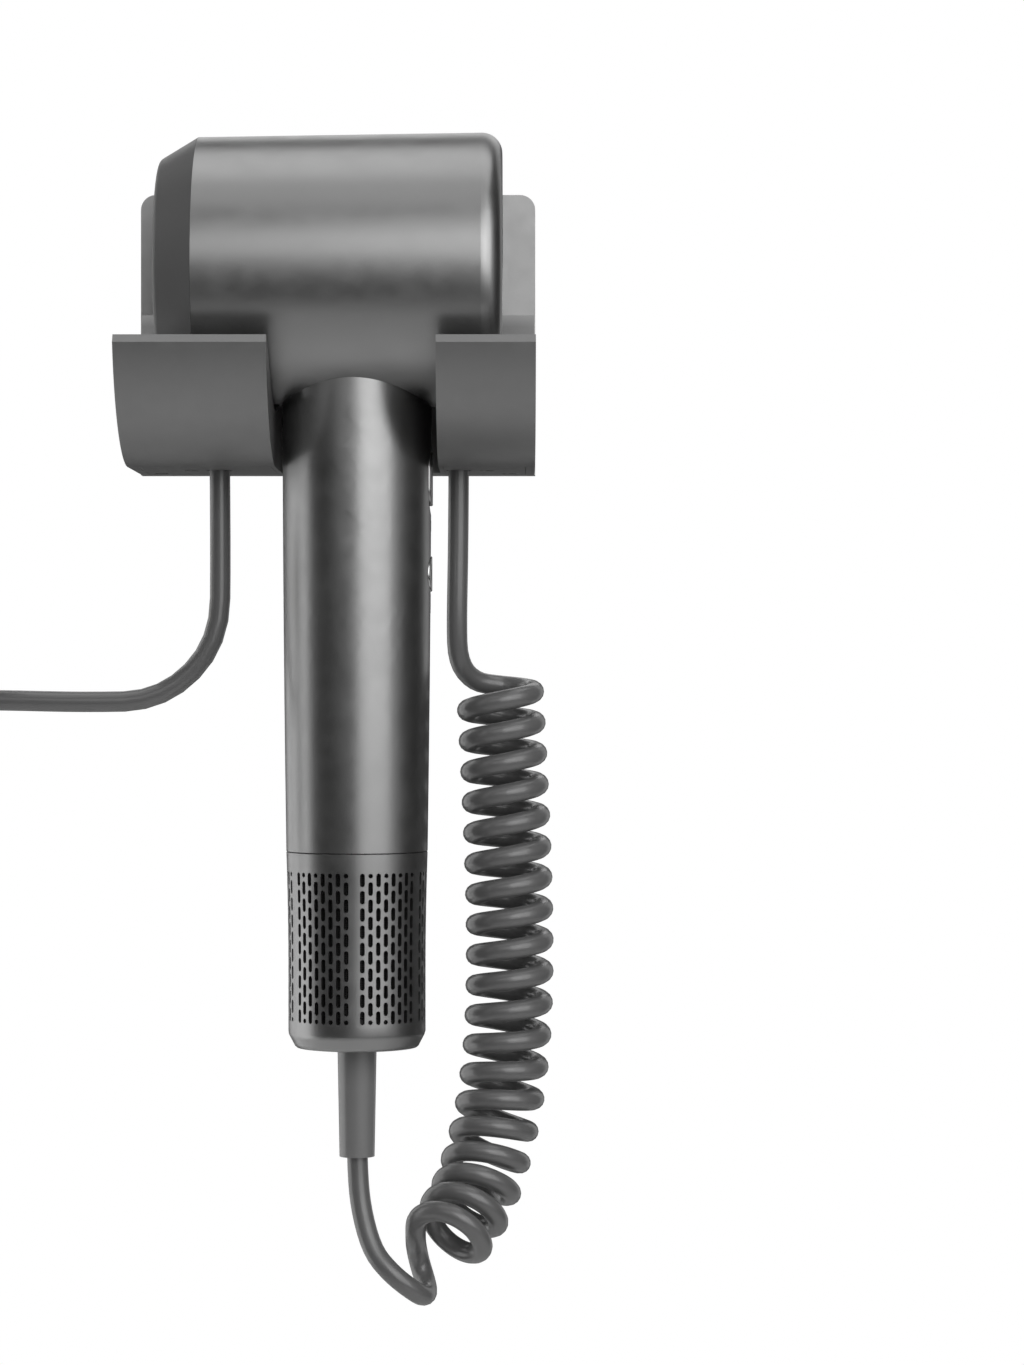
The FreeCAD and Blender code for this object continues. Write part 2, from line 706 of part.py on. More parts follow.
def heater(liner):
    """Fins on a hub carry the windings, inside a mica sleeve round the bore."""
    start, span = -36.0, 40.0
    at = (start, AXIS_Y, HEAD_Z)
    hub = tube("former_hub", liner + 0.9, liner + 0.05, span, at, "X")
    fins = []
    for i, (wide, high) in enumerate(((0.8, 37.2), (37.2, 0.8))):
        fin = box(f"former_fin_{i}", (start, start + span), (AXIS_Y - wide / 2, AXIS_Y + wide / 2),
                  (HEAD_Z - high / 2, HEAD_Z + high / 2))
        fins.append(fin)
    hole = cylinder("former_bore", liner + 0.05, span, at, "X")
    piece(cut("heater_former", fuse("former_cross", hub, *fins), hole), "heater_former")
    rings = [torus(f"winding_{i}", 21.0, 1.3, (start + 3 + 4 * i, AXIS_Y, HEAD_Z), "X") for i in range(9)]
    piece(group("heater_coil", *rings), "heater_coil")
    piece(tube("heater_sleeve", 27.0, 26.4, 44, (-38.0, AXIS_Y, HEAD_Z), "X"), "heater_sleeve")
    piece(box("thermal_cutout", (-3, 5), (AXIS_Y - 3, AXIS_Y + 3), (HEAD_Z + 22.6, HEAD_Z + 25.9)),
          "thermal_cutout")


def rear_closure(rear, bore, liner):
    """Frame, knurled disc, black ring, screws and caps that close the barrel's back."""
    ring = dim("bore_ring_radius")
    spots = [(AXIS_Y - dim("cap_side"), HEAD_Z - dim("cap_drop")), (AXIS_Y + dim("cap_side"), HEAD_Z - dim("cap_drop"))]

    def pair(name, radius, low, high):
        return [cylinder(f"{name}_{i}", radius, high - low, (rear + low, y, z), "X") for i, (y, z) in enumerate(spots)]

    frame = tube("frame_plate", dim("head_inner") - 0.2, liner + 0.05, 1.7, (rear - 8.15, AXIS_Y, HEAD_Z), "X")
    piece(cut("rear_frame", frame, *pair("frame_hole", 1.6, -9, -5)), "rear_frame")
    disc = tube("disc_plate", dim("disc_radius"), ring + 0.1, 2.4, (rear - 3.8, AXIS_Y, HEAD_Z), "X")
    piece(cut("rear_disc", disc, *pair("disc_hole", dim("cap_radius") + 0.1, -5, 1)), "rear_disc")
    black = turned("bore_ring", [
        (bore, rear - 2.6), (ring, rear - 2.6), (ring, rear - 0.6), (ring - 0.5, rear - 0.2), (bore + 0.5, rear - 0.2),
        (bore, rear - 0.6),
    ], HEAD_AXIS, "X")
    piece(black, "rear_bore_ring")
    shanks = pair("rear_shank", 1.5, -15, -6.2)
    heads = pair("rear_head", 2.8, -6.4, -5.1)
    screws = [fuse(f"rear_screw_{i}", *parts) for i, parts in enumerate(zip(shanks, heads))]
    piece(group("rear_screws", *screws), "rear_screws")
    piece(group("screw_caps", *pair("screw_cap", dim("cap_radius"), -3.6, -0.5)), "screw_caps")


# ---------------------------------------------------------------------------- handle


def spun(outside, inside):
    """Spins a section in which each triple of (radius, height) points is an arc."""
    def edges(points):
        vectors = [Vector(r, 0, z) for r, z in points]
        if len(vectors) == 3:
            return [Part.Arc(*vectors).toShape()]
        return [Part.LineSegment(a, b).toShape() for a, b in zip(vectors, vectors[1:])]

    parts = [edge for run in outside for edge in edges(run)]
    parts += edges([outside[-1][-1]] + inside + [outside[0][0]])
    return Part.Face(Part.Wire(parts)).revolve(Vector(0, 0, 0), Vector(0, 0, 1), 360)


def stadium(name, width, low, high, near, far):
    """A rounded-end plate on the handle's thumb side, between two distances from its axis."""
    half = length(width) * 0.5
    x = HANDLE_X + near
    depth = length(far) - near
    middle = box(name + "_middle", (x, x + depth), (AXIS_Y - half, AXIS_Y + half),
                 (length(low) + half, length(high) - half))
    ends = [cylinder(f"{name}_end_{i}", half, depth, (x, AXIS_Y, z), "X")
            for i, z in enumerate((length(low) + half, length(high) - half))]
    return fuse(name, middle, *ends)


def handle():
    seam = float(dim("seam"))
    wall = float(dim("handle_wall"))
    top_radius, middle_radius = float(dim("handle_radius")), float(dim("handle_mid_radius"))
    seam_radius = float(dim("seam_radius"))
    outside = [[(seam_radius, seam), (middle_radius, float(dim("handle_mid"))), (top_radius, -5.0)]]
    tube_shape = spun(outside, [(top_radius - wall, -5.0), (seam_radius - wall, seam)])
    barrel_front = cone("barrel_envelope", dim("head_front_radius"), dim("head_radius"),
                        dim("head_rear") - dim("ring_joint"), (dim("ring_joint"), AXIS_Y, HEAD_Z), "X")
    recess = stadium("recess", dim("recess_width"), dim("recess_bottom"), dim("recess_top"), dim("recess_floor"), 25)
    stem_slot = box("stem_slot", (HANDLE_X + 10, HANDLE_X + 25), (AXIS_Y - 2.4, AXIS_Y + 2.4), (-48.6, -39.6))
    button_hole = cylinder("button_hole", dim("button_radius") + dim("button_clearance"), 15,
                           (HANDLE_X + 10, AXIS_Y, dim("button_height")), "X")
    whole = solid("handle_tube", tube_shape, HANDLE_AXIS)
    piece(cut("handle_shell", whole, barrel_front, recess, stem_slot, button_hole), "handle_shell")
    controls()
    motor()
    chassis()
    intake_sleeve()


def controls():
    """Slider, button, their switches and the boards behind them."""
    x, y = HANDLE_X, AXIS_Y
    cap = stadium("slider_cap", dim("slider_width"), dim("slider_bottom"), dim("slider_top"),
                  dim("recess_floor") + 0.15, 21.1)
    stem = box("slider_stem", (x + 15.5, x + 19.5), (y - 2, y + 2), (-46, -40))
    piece(fuse("power_slider", cap, stem), "power_slider")
    piece(box("slide_switch", (x + 10, x + 15.3), (y - 4.5, y + 4.5), (-51, -37)), "slide_switch")

    height = dim("button_height")
    button = turned("button_body", [
        (0, 15.05), (1.5, 15.05), (1.5, 15.6), (5.5, 15.6), (5.5, 16.6), (dim("button_radius"), 16.6),
        (dim("button_radius"), 20.9), (4.0, 21.3), (0, 21.4),
    ], (x, y, height), "X")
    piece(button, "temperature_button")
    dome = turned("dome_body", [(4.9, 10.1), (5.4, 10.1), (4.7, 15.5), (4.2, 15.5)], (x, y, height), "X")
    piece(dome, "button_dome")
    piece(box("button_switch", (x + 10, x + 14.2), (y - 3, y + 3), (height - 3, height + 3)), "button_switch")
    piece(box("switch_board", (x + 8.4, x + 10), (y - 9.5, y + 9.5), (-78, -31)), "switch_board")
    piece(box("control_board", (x - 11, x - 9.4), (y - 12.5, y + 12.5), (-76, -26)), "control_board")
    parts = [
        cylinder("capacitor", 4.0, 16, (x - 5.3, y - 6, -48)),
        box("heat_sink", (x - 9.4, x - 1), (y + 1, y + 11), (-52, -34)),
        box("choke", (x - 9.4, x - 2), (y - 9, y + 6), (-74, -60)),
    ]
    piece(group("power_components", *parts), "power_components")


def motor():
    x, y = HANDLE_X, AXIS_Y
    top, bottom = dim("motor_top"), dim("motor_bottom")
    outer, inner = dim("motor_outer"), dim("motor_inner")
    shaft = dim("shaft_radius")
    bearing = dim("bearing_radius")
    at = (x, y)
    piece(tube("motor_housing", outer, inner, top - bottom, (x, y, bottom)), "motor_housing")

    # bearing carriers: vanes above, three arms below
    for name, count, low, high, blade in (("guide_vanes", 9, top - 6, top - 1, 0.9),
                                          ("end_bracket", 3, bottom + 0.5, bottom + 4, 3.0)):
        hub = tube(name + "_hub", 6, bearing + 0.02, high - low, (x, y, low))
        bars = [spoke(f"{name}_bar_{i}", at, inner + 0.5, blade, low, high, 90 + i * 360 / count, 5)
                for i in range(count)]
        edge = cylinder(name + "_edge", inner, high - low, (x, y, low))
        piece(common(name, fuse(name + "_star", hub, *bars), edge), name)
    for name, low in (("bearing_upper", top - 5), ("bearing_lower", bottom + 0.8)):
        piece(tube(name, bearing, shaft + dim("bearing_clearance"), 3, (x, y, low)), name)

    core = tube("stator_core", 10.5, 5.0, 14, (x, y, -116))
    arms = [spoke(f"stator_arm_{i}", at, inner + 0.5, 2.0, -116, -112, 30 + i * 120, 9) for i in range(3)]
    edge = cylinder("stator_edge", inner, 14, (x, y, -116))
    piece(common("stator", fuse("stator_star", core, *arms), edge), "stator")

    spindle = cylinder("spindle", shaft, 47, (x, y, bottom - 0.5))
    magnet = cylinder("rotor_magnet", 4.5, 14, (x, y, -116))
    piece(fuse("rotor", spindle, magnet), "rotor")
    hub = cone("impeller_hub", 5.0, 8.5, 8, (x, y, -98))
    blades = []
    for i in range(9):
        blade = Part.makeBox(13, 0.9, 9, Vector(4, -0.45, -4.5))
        blade.rotate(Vector(8, 0, 0), Vector(1, 0, 0), 35)
        blade.rotate(Vector(0, 0, 0), Vector(0, 0, 1), i * 40)
        blades.append(blade)
    swept = solid("impeller_blades", Part.makeCompound(blades), (x, y, -94))
    rim = cylinder("impeller_rim", inner - 0.4, 8, (x, y, -98))
    wheel = common("impeller_wheel", fuse("impeller_star", hub, swept), rim)
    piece(cut("impeller", wheel, cylinder("impeller_bore", shaft, 20, (x, y, -104))), "impeller")

    for name, low in (("isolator_upper", -92), ("isolator_lower", -124)):
        ring = tube(name + "_ring", 17.25, outer + 0.02, 6, (x, y, low))
        notch = box(name + "_notch", (x - 4, x + 4), (y - 20, y - 10), (low - 1, low + 7))
        piece(cut(name, ring, notch), name)
    wires = []
    for i, side in enumerate((-1.8, 0.0, 1.8)):
        route = [(float(x) + side, float(y) - out, height)
                 for out, height in ((2.0, -180.9), (14.2, -150.0), (16.4, -134.0), (16.5, -80.0))]
        wires.append(solid(f"power_wire_{i}", cord(route, 0.6)))
    piece(group("power_leads", *wires), "power_leads")


def chassis():
    """The frame under the motor, its filter, and the lead's anchorage and strain relief."""
    x, y = HANDLE_X, AXIS_Y
    foot = tube("frame_foot", 16.2, dim("relief_radius") + 0.05, 2.5, (x, y, -192))
    lower = tube("frame_lower", 17.0, 12.5, 4, (x, y, -147))
    upper = tube("frame_upper", 16.6, 12.5, 2, (x, y, -130.2))
    posts = []
    for i in range(4):
        angle = math.radians(45 + 90 * i)
        posts.append(cylinder(f"frame_post_{i}", 1.4, 62.5, (x + 14 * math.cos(angle), y + 14 * math.sin(angle), -190.8)))
    notch = box("frame_notch", (x - 4, x + 4), (y - 20, y - 13), (-150, -125))
    piece(cut("inner_frame", fuse("frame_whole", foot, lower, upper, *posts), notch), "inner_frame")
    piece(tube("filter_mesh", 17.0, 16.4, 42, (x, y, -189.3)), "filter_mesh")

    relief = dim("relief_radius")
    end = dim("relief_end")
    hole = dim("cord_radius") + 0.15
    body = turned("relief_body", [
        (0, -186.9), (8, -186.9), (8, -189.4), (relief, -189.4), (relief, dim("sleeve_foot") - 0.2),
        (dim("relief_end_radius"), end), (hole, end), (hole, end + 8), (0, end + 8),
    ], HANDLE_AXIS)
    piece(body, "strain_relief")
    piece(box("cord_clamp", (x - 6, x + 6), (y - 4, y + 4), (-186.8, -181)), "cord_clamp")


def intake_sleeve():
    """The pull-off sleeve: upright slots in six groups of eight round it."""
    seam = float(dim("seam")) - 0.2
    wall = float(dim("sleeve_wall"))
    radius = float(dim("sleeve_radius"))
    waist, chamfer = float(dim("sleeve_waist")), float(dim("sleeve_chamfer_top"))
    foot_radius, foot = float(dim("sleeve_foot_radius")), float(dim("sleeve_foot"))
    seam_radius = float(dim("seam_radius"))
    outside = [
        [(float(dim("relief_radius")) + 0.55, foot), (foot_radius, foot), (radius, chamfer), (radius, waist)],
        [(radius, waist), (radius + 0.15, (waist + seam) / 2), (seam_radius, seam)],
    ]
    inside = [
        (seam_radius - wall, seam), (radius - wall, waist), (radius - wall, chamfer - 0.3),
        (foot_radius - wall, foot + 1.8), (float(dim("relief_radius")) + 0.55, foot + 1.8),
    ]
    shell = solid("sleeve_wall_body", spun(outside, inside), HANDLE_AXIS)
    low, high = float(dim("slot_bottom")), float(dim("slot_top"))
    width = float(dim("slot_width"))
    slot = Part.makeBox(10, width, high - low, Vector(14, -width / 2, low))
    slots = []
    for index in range(54):
        if index % 9 == 8:
            continue
        turned_slot = slot.copy()
        turned_slot.rotate(Vector(0, 0, 0), Vector(0, 0, 1), (index - 3.5) * 360 / 54)
        slots.append(turned_slot)
    slots = solid("sleeve_slots", Part.makeCompound(slots), HANDLE_AXIS)
    piece(cut("intake_sleeve", shell, slots), "intake_sleeve")


# ---------------------------------------------------------------------------- build


def export():
    """Checks every object and writes one STEP file for each sub-part."""
    doc.recompute()
    for obj in doc.Objects:
        if {"Invalid", "Error"} & set(obj.State):
            raise RuntimeError(f"{obj.Label} failed: {obj.State}")
    for obj in pieces:
        if obj.Shape.isNull() or not obj.Shape.isValid() or not obj.Shape.Solids:
            raise RuntimeError(f"{obj.Label} has no sound solid")
    os.makedirs("parts", exist_ok=True)
    for name in os.listdir("parts"):
        os.remove(os.path.join("parts", name))
    for obj in pieces:
        obj.Shape.exportStep(f"parts/{obj.Label}.step")
        print(f"{obj.Label}: {len(obj.Shape.Solids)} solid(s), {obj.Shape.Volume / 1000:.2f} cm3")
    print(len(pieces), "sub-parts")


cradle()
leads()
head()
handle()
export()
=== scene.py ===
"""Looks for the hair dryer and its wall cradle.

It adds the two cords, the perforated sleeve, the knurled disc, the caps of the slider and button and the
marks by them. Every piece and every CAD node gets its finish, and the studio its light, floor and camera.
"""

import json
import math

import bmesh
import bpy
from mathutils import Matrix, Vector


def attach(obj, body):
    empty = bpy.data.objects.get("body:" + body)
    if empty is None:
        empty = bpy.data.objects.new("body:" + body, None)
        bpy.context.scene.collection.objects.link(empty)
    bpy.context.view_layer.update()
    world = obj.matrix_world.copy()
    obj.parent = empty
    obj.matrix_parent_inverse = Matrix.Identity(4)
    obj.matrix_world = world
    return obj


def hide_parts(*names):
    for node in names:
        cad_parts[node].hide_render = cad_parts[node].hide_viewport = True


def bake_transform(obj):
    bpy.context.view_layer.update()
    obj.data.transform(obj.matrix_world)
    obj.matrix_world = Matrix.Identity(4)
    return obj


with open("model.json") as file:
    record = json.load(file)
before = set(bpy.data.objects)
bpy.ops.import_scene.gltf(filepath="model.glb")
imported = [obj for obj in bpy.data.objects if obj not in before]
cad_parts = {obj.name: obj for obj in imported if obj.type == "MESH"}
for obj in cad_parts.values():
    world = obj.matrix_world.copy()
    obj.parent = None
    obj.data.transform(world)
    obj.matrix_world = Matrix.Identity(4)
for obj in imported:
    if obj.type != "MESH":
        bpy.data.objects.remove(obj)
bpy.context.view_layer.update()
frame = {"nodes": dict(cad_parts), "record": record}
nodes = frame["nodes"]
scene = bpy.context.scene
MM = 0.001

# Axes of the dryer in the frame, in millimetres.
HANDLE_X, AXIS_Y, HEAD_Z = 7.0, -45.0, 14.0
HEAD_REAR = 46.8


# ---------------------------------------------------------------------------- helpers


def link(name, data):
    obj = bpy.data.objects.new(name, data)
    scene.collection.objects.link(obj)
    return obj


def mesh_piece(name, points, faces, sharp=30.0):
    """A mesh object from points in millimetres, smooth except at edges sharper than an angle."""
    mesh = bpy.data.meshes.new(name)
    mesh.from_pydata([Vector(p) * MM for p in points], [], faces)
    tidy_mesh(mesh, sharp)
    return link(name, mesh)


def tidy_mesh(mesh, sharp):
    """Joins doubled points, turns the faces outward and marks the sharp edges."""
    work = bmesh.new()
    work.from_mesh(mesh)
    bmesh.ops.remove_doubles(work, verts=work.verts, dist=1e-6)
    bmesh.ops.recalc_face_normals(work, faces=work.faces)
    work.to_mesh(mesh)
    work.free()
    mesh.shade_smooth()
    mesh.set_sharp_from_angle(angle=math.radians(sharp))


def nurbs(name, points, resolution, radius=0.0):
    """A smooth open curve with the given control points, in millimetres."""
    curve = bpy.data.curves.new(name, "CURVE")
    curve.dimensions = "3D"
    spline = curve.splines.new("NURBS")
    spline.points.add(len(points) - 1)
    for control, point in zip(spline.points, points):
        control.co = (*(Vector(point) * MM), 1.0)
    spline.order_u = 3
    spline.use_endpoint_u = True
    spline.resolution_u = resolution
    curve.bevel_depth = radius * MM
    curve.bevel_resolution = 6
    curve.use_fill_caps = radius > 0
    return link(name, curve)


def mesh_of(obj):
    """The mesh that a curve makes; the curve itself goes."""
    bpy.context.view_layer.update()
    graph = bpy.context.evaluated_depsgraph_get()
    mesh = bpy.data.meshes.new_from_object(obj.evaluated_get(graph))
    bpy.data.objects.remove(obj)
    return mesh


def keep_modified(piece):
    """Applies a piece's modifiers to its mesh."""
    bpy.context.view_layer.update()
    graph = bpy.context.evaluated_depsgraph_get()
    mesh = bpy.data.meshes.new_from_object(piece.evaluated_get(graph))
    piece.modifiers.clear()
    piece.data = mesh


def line_of(points, resolution):
    """Points along the smooth curve with the given control points, in metres."""
    mesh = mesh_of(nurbs("line", points, resolution))
    line = [v.co.copy() for v in mesh.vertices]
    bpy.data.meshes.remove(mesh)
    return line


# ---------------------------------------------------------------------------- camera

FRAME_HEIGHT = 1365
FOCAL_PIXELS = 3800.0
SENSOR = 36.0
CAMERA_PLACE = (0.0494, -1.085, -0.0987)

camera_data = bpy.data.cameras.new("camera")
camera_data.sensor_width = SENSOR
camera_data.lens = FOCAL_PIXELS * SENSOR / FRAME_HEIGHT
camera_data.clip_start = 0.01
camera = link("camera", camera_data)
camera.location = CAMERA_PLACE
camera.rotation_euler = (math.radians(90), 0, 0)
scene.camera = camera


# ---------------------------------------------------------------------------- finishes


class Finish:
    """A node material: a Principled shader and the nodes that vary it over the surface."""

    def __init__(self, name, **constants):
        self.material = bpy.data.materials.new(name)
        self.material.use_nodes = True
        self.nodes = self.material.node_tree.nodes
        self.links = self.material.node_tree.links
        self.shader = self.nodes["Principled BSDF"]
        for socket, value in constants.items():
            self.shader.inputs[socket.replace("_", " ")].default_value = value
        self.place = self.nodes.new("ShaderNodeTexCoord").outputs["Object"]
        self.height = None

    def node(self, kind, **settings):
        made = self.nodes.new(kind)
        for name, value in settings.items():
            setattr(made, name, value)
        return made

    def noise(self, scale, detail=3.0, roughness=0.5, stretch=None):
        place = self.place
        if stretch:
            mapping = self.node("ShaderNodeMapping")
            mapping.inputs["Scale"].default_value = stretch
            self.links.new(place, mapping.inputs["Vector"])
            place = mapping.outputs["Vector"]
        made = self.node("ShaderNodeTexNoise")
        made.inputs["Scale"].default_value = scale
        made.inputs["Detail"].default_value = detail
        made.inputs["Roughness"].default_value = roughness
        self.links.new(place, made.inputs["Vector"])
        return made.outputs["Fac"]

    def spread(self, value, low, high, start=0.3, end=0.7):
        """Maps a noise value's middle range onto another range."""
        made = self.node("ShaderNodeMapRange")
        for socket, number in (("From Min", start), ("From Max", end), ("To Min", low), ("To Max", high)):
            made.inputs[socket].default_value = number
        self.links.new(value, made.inputs["Value"])
        return made.outputs["Result"]

    def math(self, operation, first, second=0.0):
        made = self.node("ShaderNodeMath", operation=operation)
        for socket, value in zip(made.inputs, (first, second)):
            if isinstance(value, (int, float)):
                socket.default_value = value
            else:
                self.links.new(value, socket)
        return made.outputs["Value"]

    def both(self, first, share, second):
        """Two values added, with that share of the first and the rest of the second."""
        return self.math("ADD", self.math("MULTIPLY", first, share), self.math("MULTIPLY", second, 1 - share))

    def colour(self, value, low, high):
        """Mixes two colours by a value and gives them to the shader."""
        mixed = self.mix(value, low, high)
        self.links.new(mixed, self.shader.inputs["Base Color"])
        return mixed

    def mix(self, value, low, high):
        made = self.node("ShaderNodeMix", data_type="RGBA")
        self.links.new(value, made.inputs["Factor"])
        for socket, colour in ((made.inputs[6], low), (made.inputs[7], high)):
            if isinstance(colour, tuple):
                socket.default_value = (*colour, 1.0)
            else:
                self.links.new(colour, socket)
        return made.outputs[2]

    def rough(self, value, low, high, start=0.3, end=0.7):
        self.links.new(self.spread(value, low, high, start, end), self.shader.inputs["Roughness"])

    def bump(self, value, depth_mm):
        made = self.node("ShaderNodeBump")
        made.inputs["Distance"].default_value = depth_mm * MM
        self.links.new(value, made.inputs["Height"])
        if self.height is not None:
            self.links.new(self.height, made.inputs["Normal"])
        self.height = made.outputs["Normal"]
        self.links.new(self.height, self.shader.inputs["Normal"])

    def glow(self, strength):
        """Even light that is seen but falls on nothing."""
        light = self.node("ShaderNodeEmission")
        light.inputs["Strength"].default_value = strength
        choice = self.node("ShaderNodeMixShader")
        self.links.new(self.node("ShaderNodeLightPath").outputs["Is Camera Ray"], choice.inputs["Fac"])
        self.links.new(self.shader.outputs["BSDF"], choice.inputs[1])
        self.links.new(light.outputs["Emission"], choice.inputs[2])
        self.links.new(choice.outputs["Shader"], self.nodes["Material Output"].inputs["Surface"])

    def axis(self, letter):
        split = self.node("ShaderNodeSeparateXYZ")
        self.links.new(self.place, split.inputs["Vector"])
        return split.outputs[letter]


def grey(value, warmth=0.0):
    return (value * (1 + warmth), value, value * (1 - warmth))


def metallic_paint(name, low, high, rough_low, rough_high):
    """Satin metallic lacquer: fine flake, slight cloudiness and faint handling marks."""
    made = Finish(name, Metallic=1.0, IOR=1.5, Coat_Weight=0.12, Coat_Roughness=0.3)
    flake = made.noise(4200.0, 2.0, 0.6)
    cloud = made.noise(38.0, 3.0)
    made.colour(made.both(flake, 0.6, cloud), low, high)
    made.rough(made.both(made.noise(160.0, 5.0), 0.6, flake), rough_low, rough_high)
    made.bump(flake, 0.004)
    return made.material


def moulded(name, low, high, rough_low, rough_high, grain=1500.0, depth=0.02, **constants):
    """Moulded plastic or rubber with a spark-eroded grain and slight colour drift."""
    made = Finish(name, **constants)
    cloud = made.noise(45.0, 4.0)
    pits = made.noise(grain, 3.0, 0.6)
    made.colour(made.both(cloud, 0.6, pits), low, high)
    made.rough(made.both(made.noise(220.0, 4.0), 0.5, pits), rough_low, rough_high)
    made.bump(pits, depth)
    return made.material


def drawn_metal(name, low, high, rough_low, rough_high, stretch=(1.0, 1.0, 30.0)):
    """Bare metal with fine drawn or turned lines."""
    made = Finish(name, Metallic=1.0)
    lines = made.noise(900.0, 3.0, 0.6, stretch)
    cloud = made.noise(70.0, 3.0)
    made.colour(made.both(lines, 0.5, cloud), low, high)
    made.rough(lines, rough_low, rough_high)
    made.bump(lines, 0.006)
    return made.material


def cradle_finish():
    """Satin lacquer over fine-textured plastic, with the flat back plate painted lighter: a painted highlight
    for the bright reflection its flat face catches.
    """
    made = Finish("cradle", Metallic=0.85, IOR=1.5)
    # Painted highlight: a lighter copy of the cradle colour on the back plate, towards the wall.
    plate_highlight_mask = made.spread(made.axis("Y"), 0.0, 1.0, -7.5 * MM, -5.4 * MM)
    cloud = made.noise(45.0, 4.0)
    pits = made.noise(1900.0, 3.0, 0.6)
    drift = made.both(cloud, 0.5, pits)
    arms = made.mix(drift, grey(0.25), grey(0.29))
    plate_highlight_colour = made.mix(drift, grey(0.37), grey(0.42))
    made.colour(plate_highlight_mask, arms, plate_highlight_colour)
    made.rough(made.both(made.noise(240.0, 4.0), 0.5, pits), 0.36, 0.50)
    made.bump(pits, 0.012)
    return made.material


def cord_finish(name, low, high):
    """Glossy polyurethane lead, with faint extrusion waviness and rub marks."""
    made = Finish(name, IOR=1.6, Coat_Weight=0.5, Coat_Roughness=0.2)
    cloud = made.noise(60.0, 4.0)
    fine = made.noise(1300.0, 2.0)
    made.colour(made.both(cloud, 0.7, fine), low, high)
    made.rough(made.noise(330.0, 5.0), 0.3, 0.38)
    made.bump(made.noise(900.0, 2.0), 0.003)
    return made.material


def woven_metal():
    """Fine black wire mesh round the handle's axis: threads up and round, with holes between."""
    made = Finish("filter", Metallic=0.6, Roughness=0.55)
    angle = made.math("ARCTAN2", made.math("ADD", made.axis("Y"), -AXIS_Y * MM),
                      made.math("SUBTRACT", made.axis("X"), HANDLE_X * MM))
    across = made.math("SINE", made.math("MULTIPLY", angle, 180.0))
    upright = made.math("SINE", made.math("MULTIPLY", made.axis("Z"), 10500.0))
    threads = made.math("MAXIMUM", across, upright)
    made.colour(made.spread(threads, 0.0, 1.0, 0.2, 0.9), grey(0.006), grey(0.035))
    made.bump(threads, 0.08)
    return made.material


def circuit_board():
    """Green solder mask with copper tracks showing through."""
    made = Finish("pcb", IOR=1.5)
    tracks = made.node("ShaderNodeTexBrick")
    for socket, value in (("Scale", 260.0), ("Mortar Size", 0.03), ("Brick Width", 0.9), ("Row Height", 0.3)):
        tracks.inputs[socket].default_value = value
    tracks.inputs["Color1"].default_value = (0.008, 0.07, 0.025, 1)
    tracks.inputs["Color2"].default_value = (0.01, 0.09, 0.03, 1)
    tracks.inputs["Mortar"].default_value = (0.03, 0.16, 0.05, 1)
    made.links.new(made.place, tracks.inputs["Vector"])
    made.links.new(tracks.outputs["Color"], made.shader.inputs["Base Color"])
    made.rough(made.noise(300.0), 0.3, 0.45)
    made.bump(tracks.outputs["Fac"], 0.03)
    return made.material


def woven_tie():
    """Hook-and-loop strap: a twill of short dark loops."""
    made = Finish("tie", Sheen_Weight=0.3, Sheen_Roughness=0.5)
    loops = made.noise(2600.0, 2.0)
    twill = made.node("ShaderNodeTexWave", wave_type="BANDS", bands_direction="DIAGONAL")
    twill.inputs["Scale"].default_value = 700.0
    twill.inputs["Distortion"].default_value = 2.0
    made.links.new(made.place, twill.inputs["Vector"])
    weave = made.both(loops, 0.5, twill.outputs["Fac"])
    made.colour(weave, grey(0.012), grey(0.05))
    made.rough(loops, 0.8, 0.95)
    made.bump(weave, 0.12)
    return made.material


def knurl_finish():
    """Bright vacuum-metallised plastic, dulled a little in random patches."""
    made = Finish("knurl", Metallic=1.0)
    cloud = made.noise(120.0, 4.0)
    fine = made.noise(2400.0, 2.0)
    made.colour(cloud, grey(0.5), grey(0.6))
    made.rough(made.both(cloud, 0.5, fine), 0.16, 0.3)
    made.bump(fine, 0.003)
    return made.material


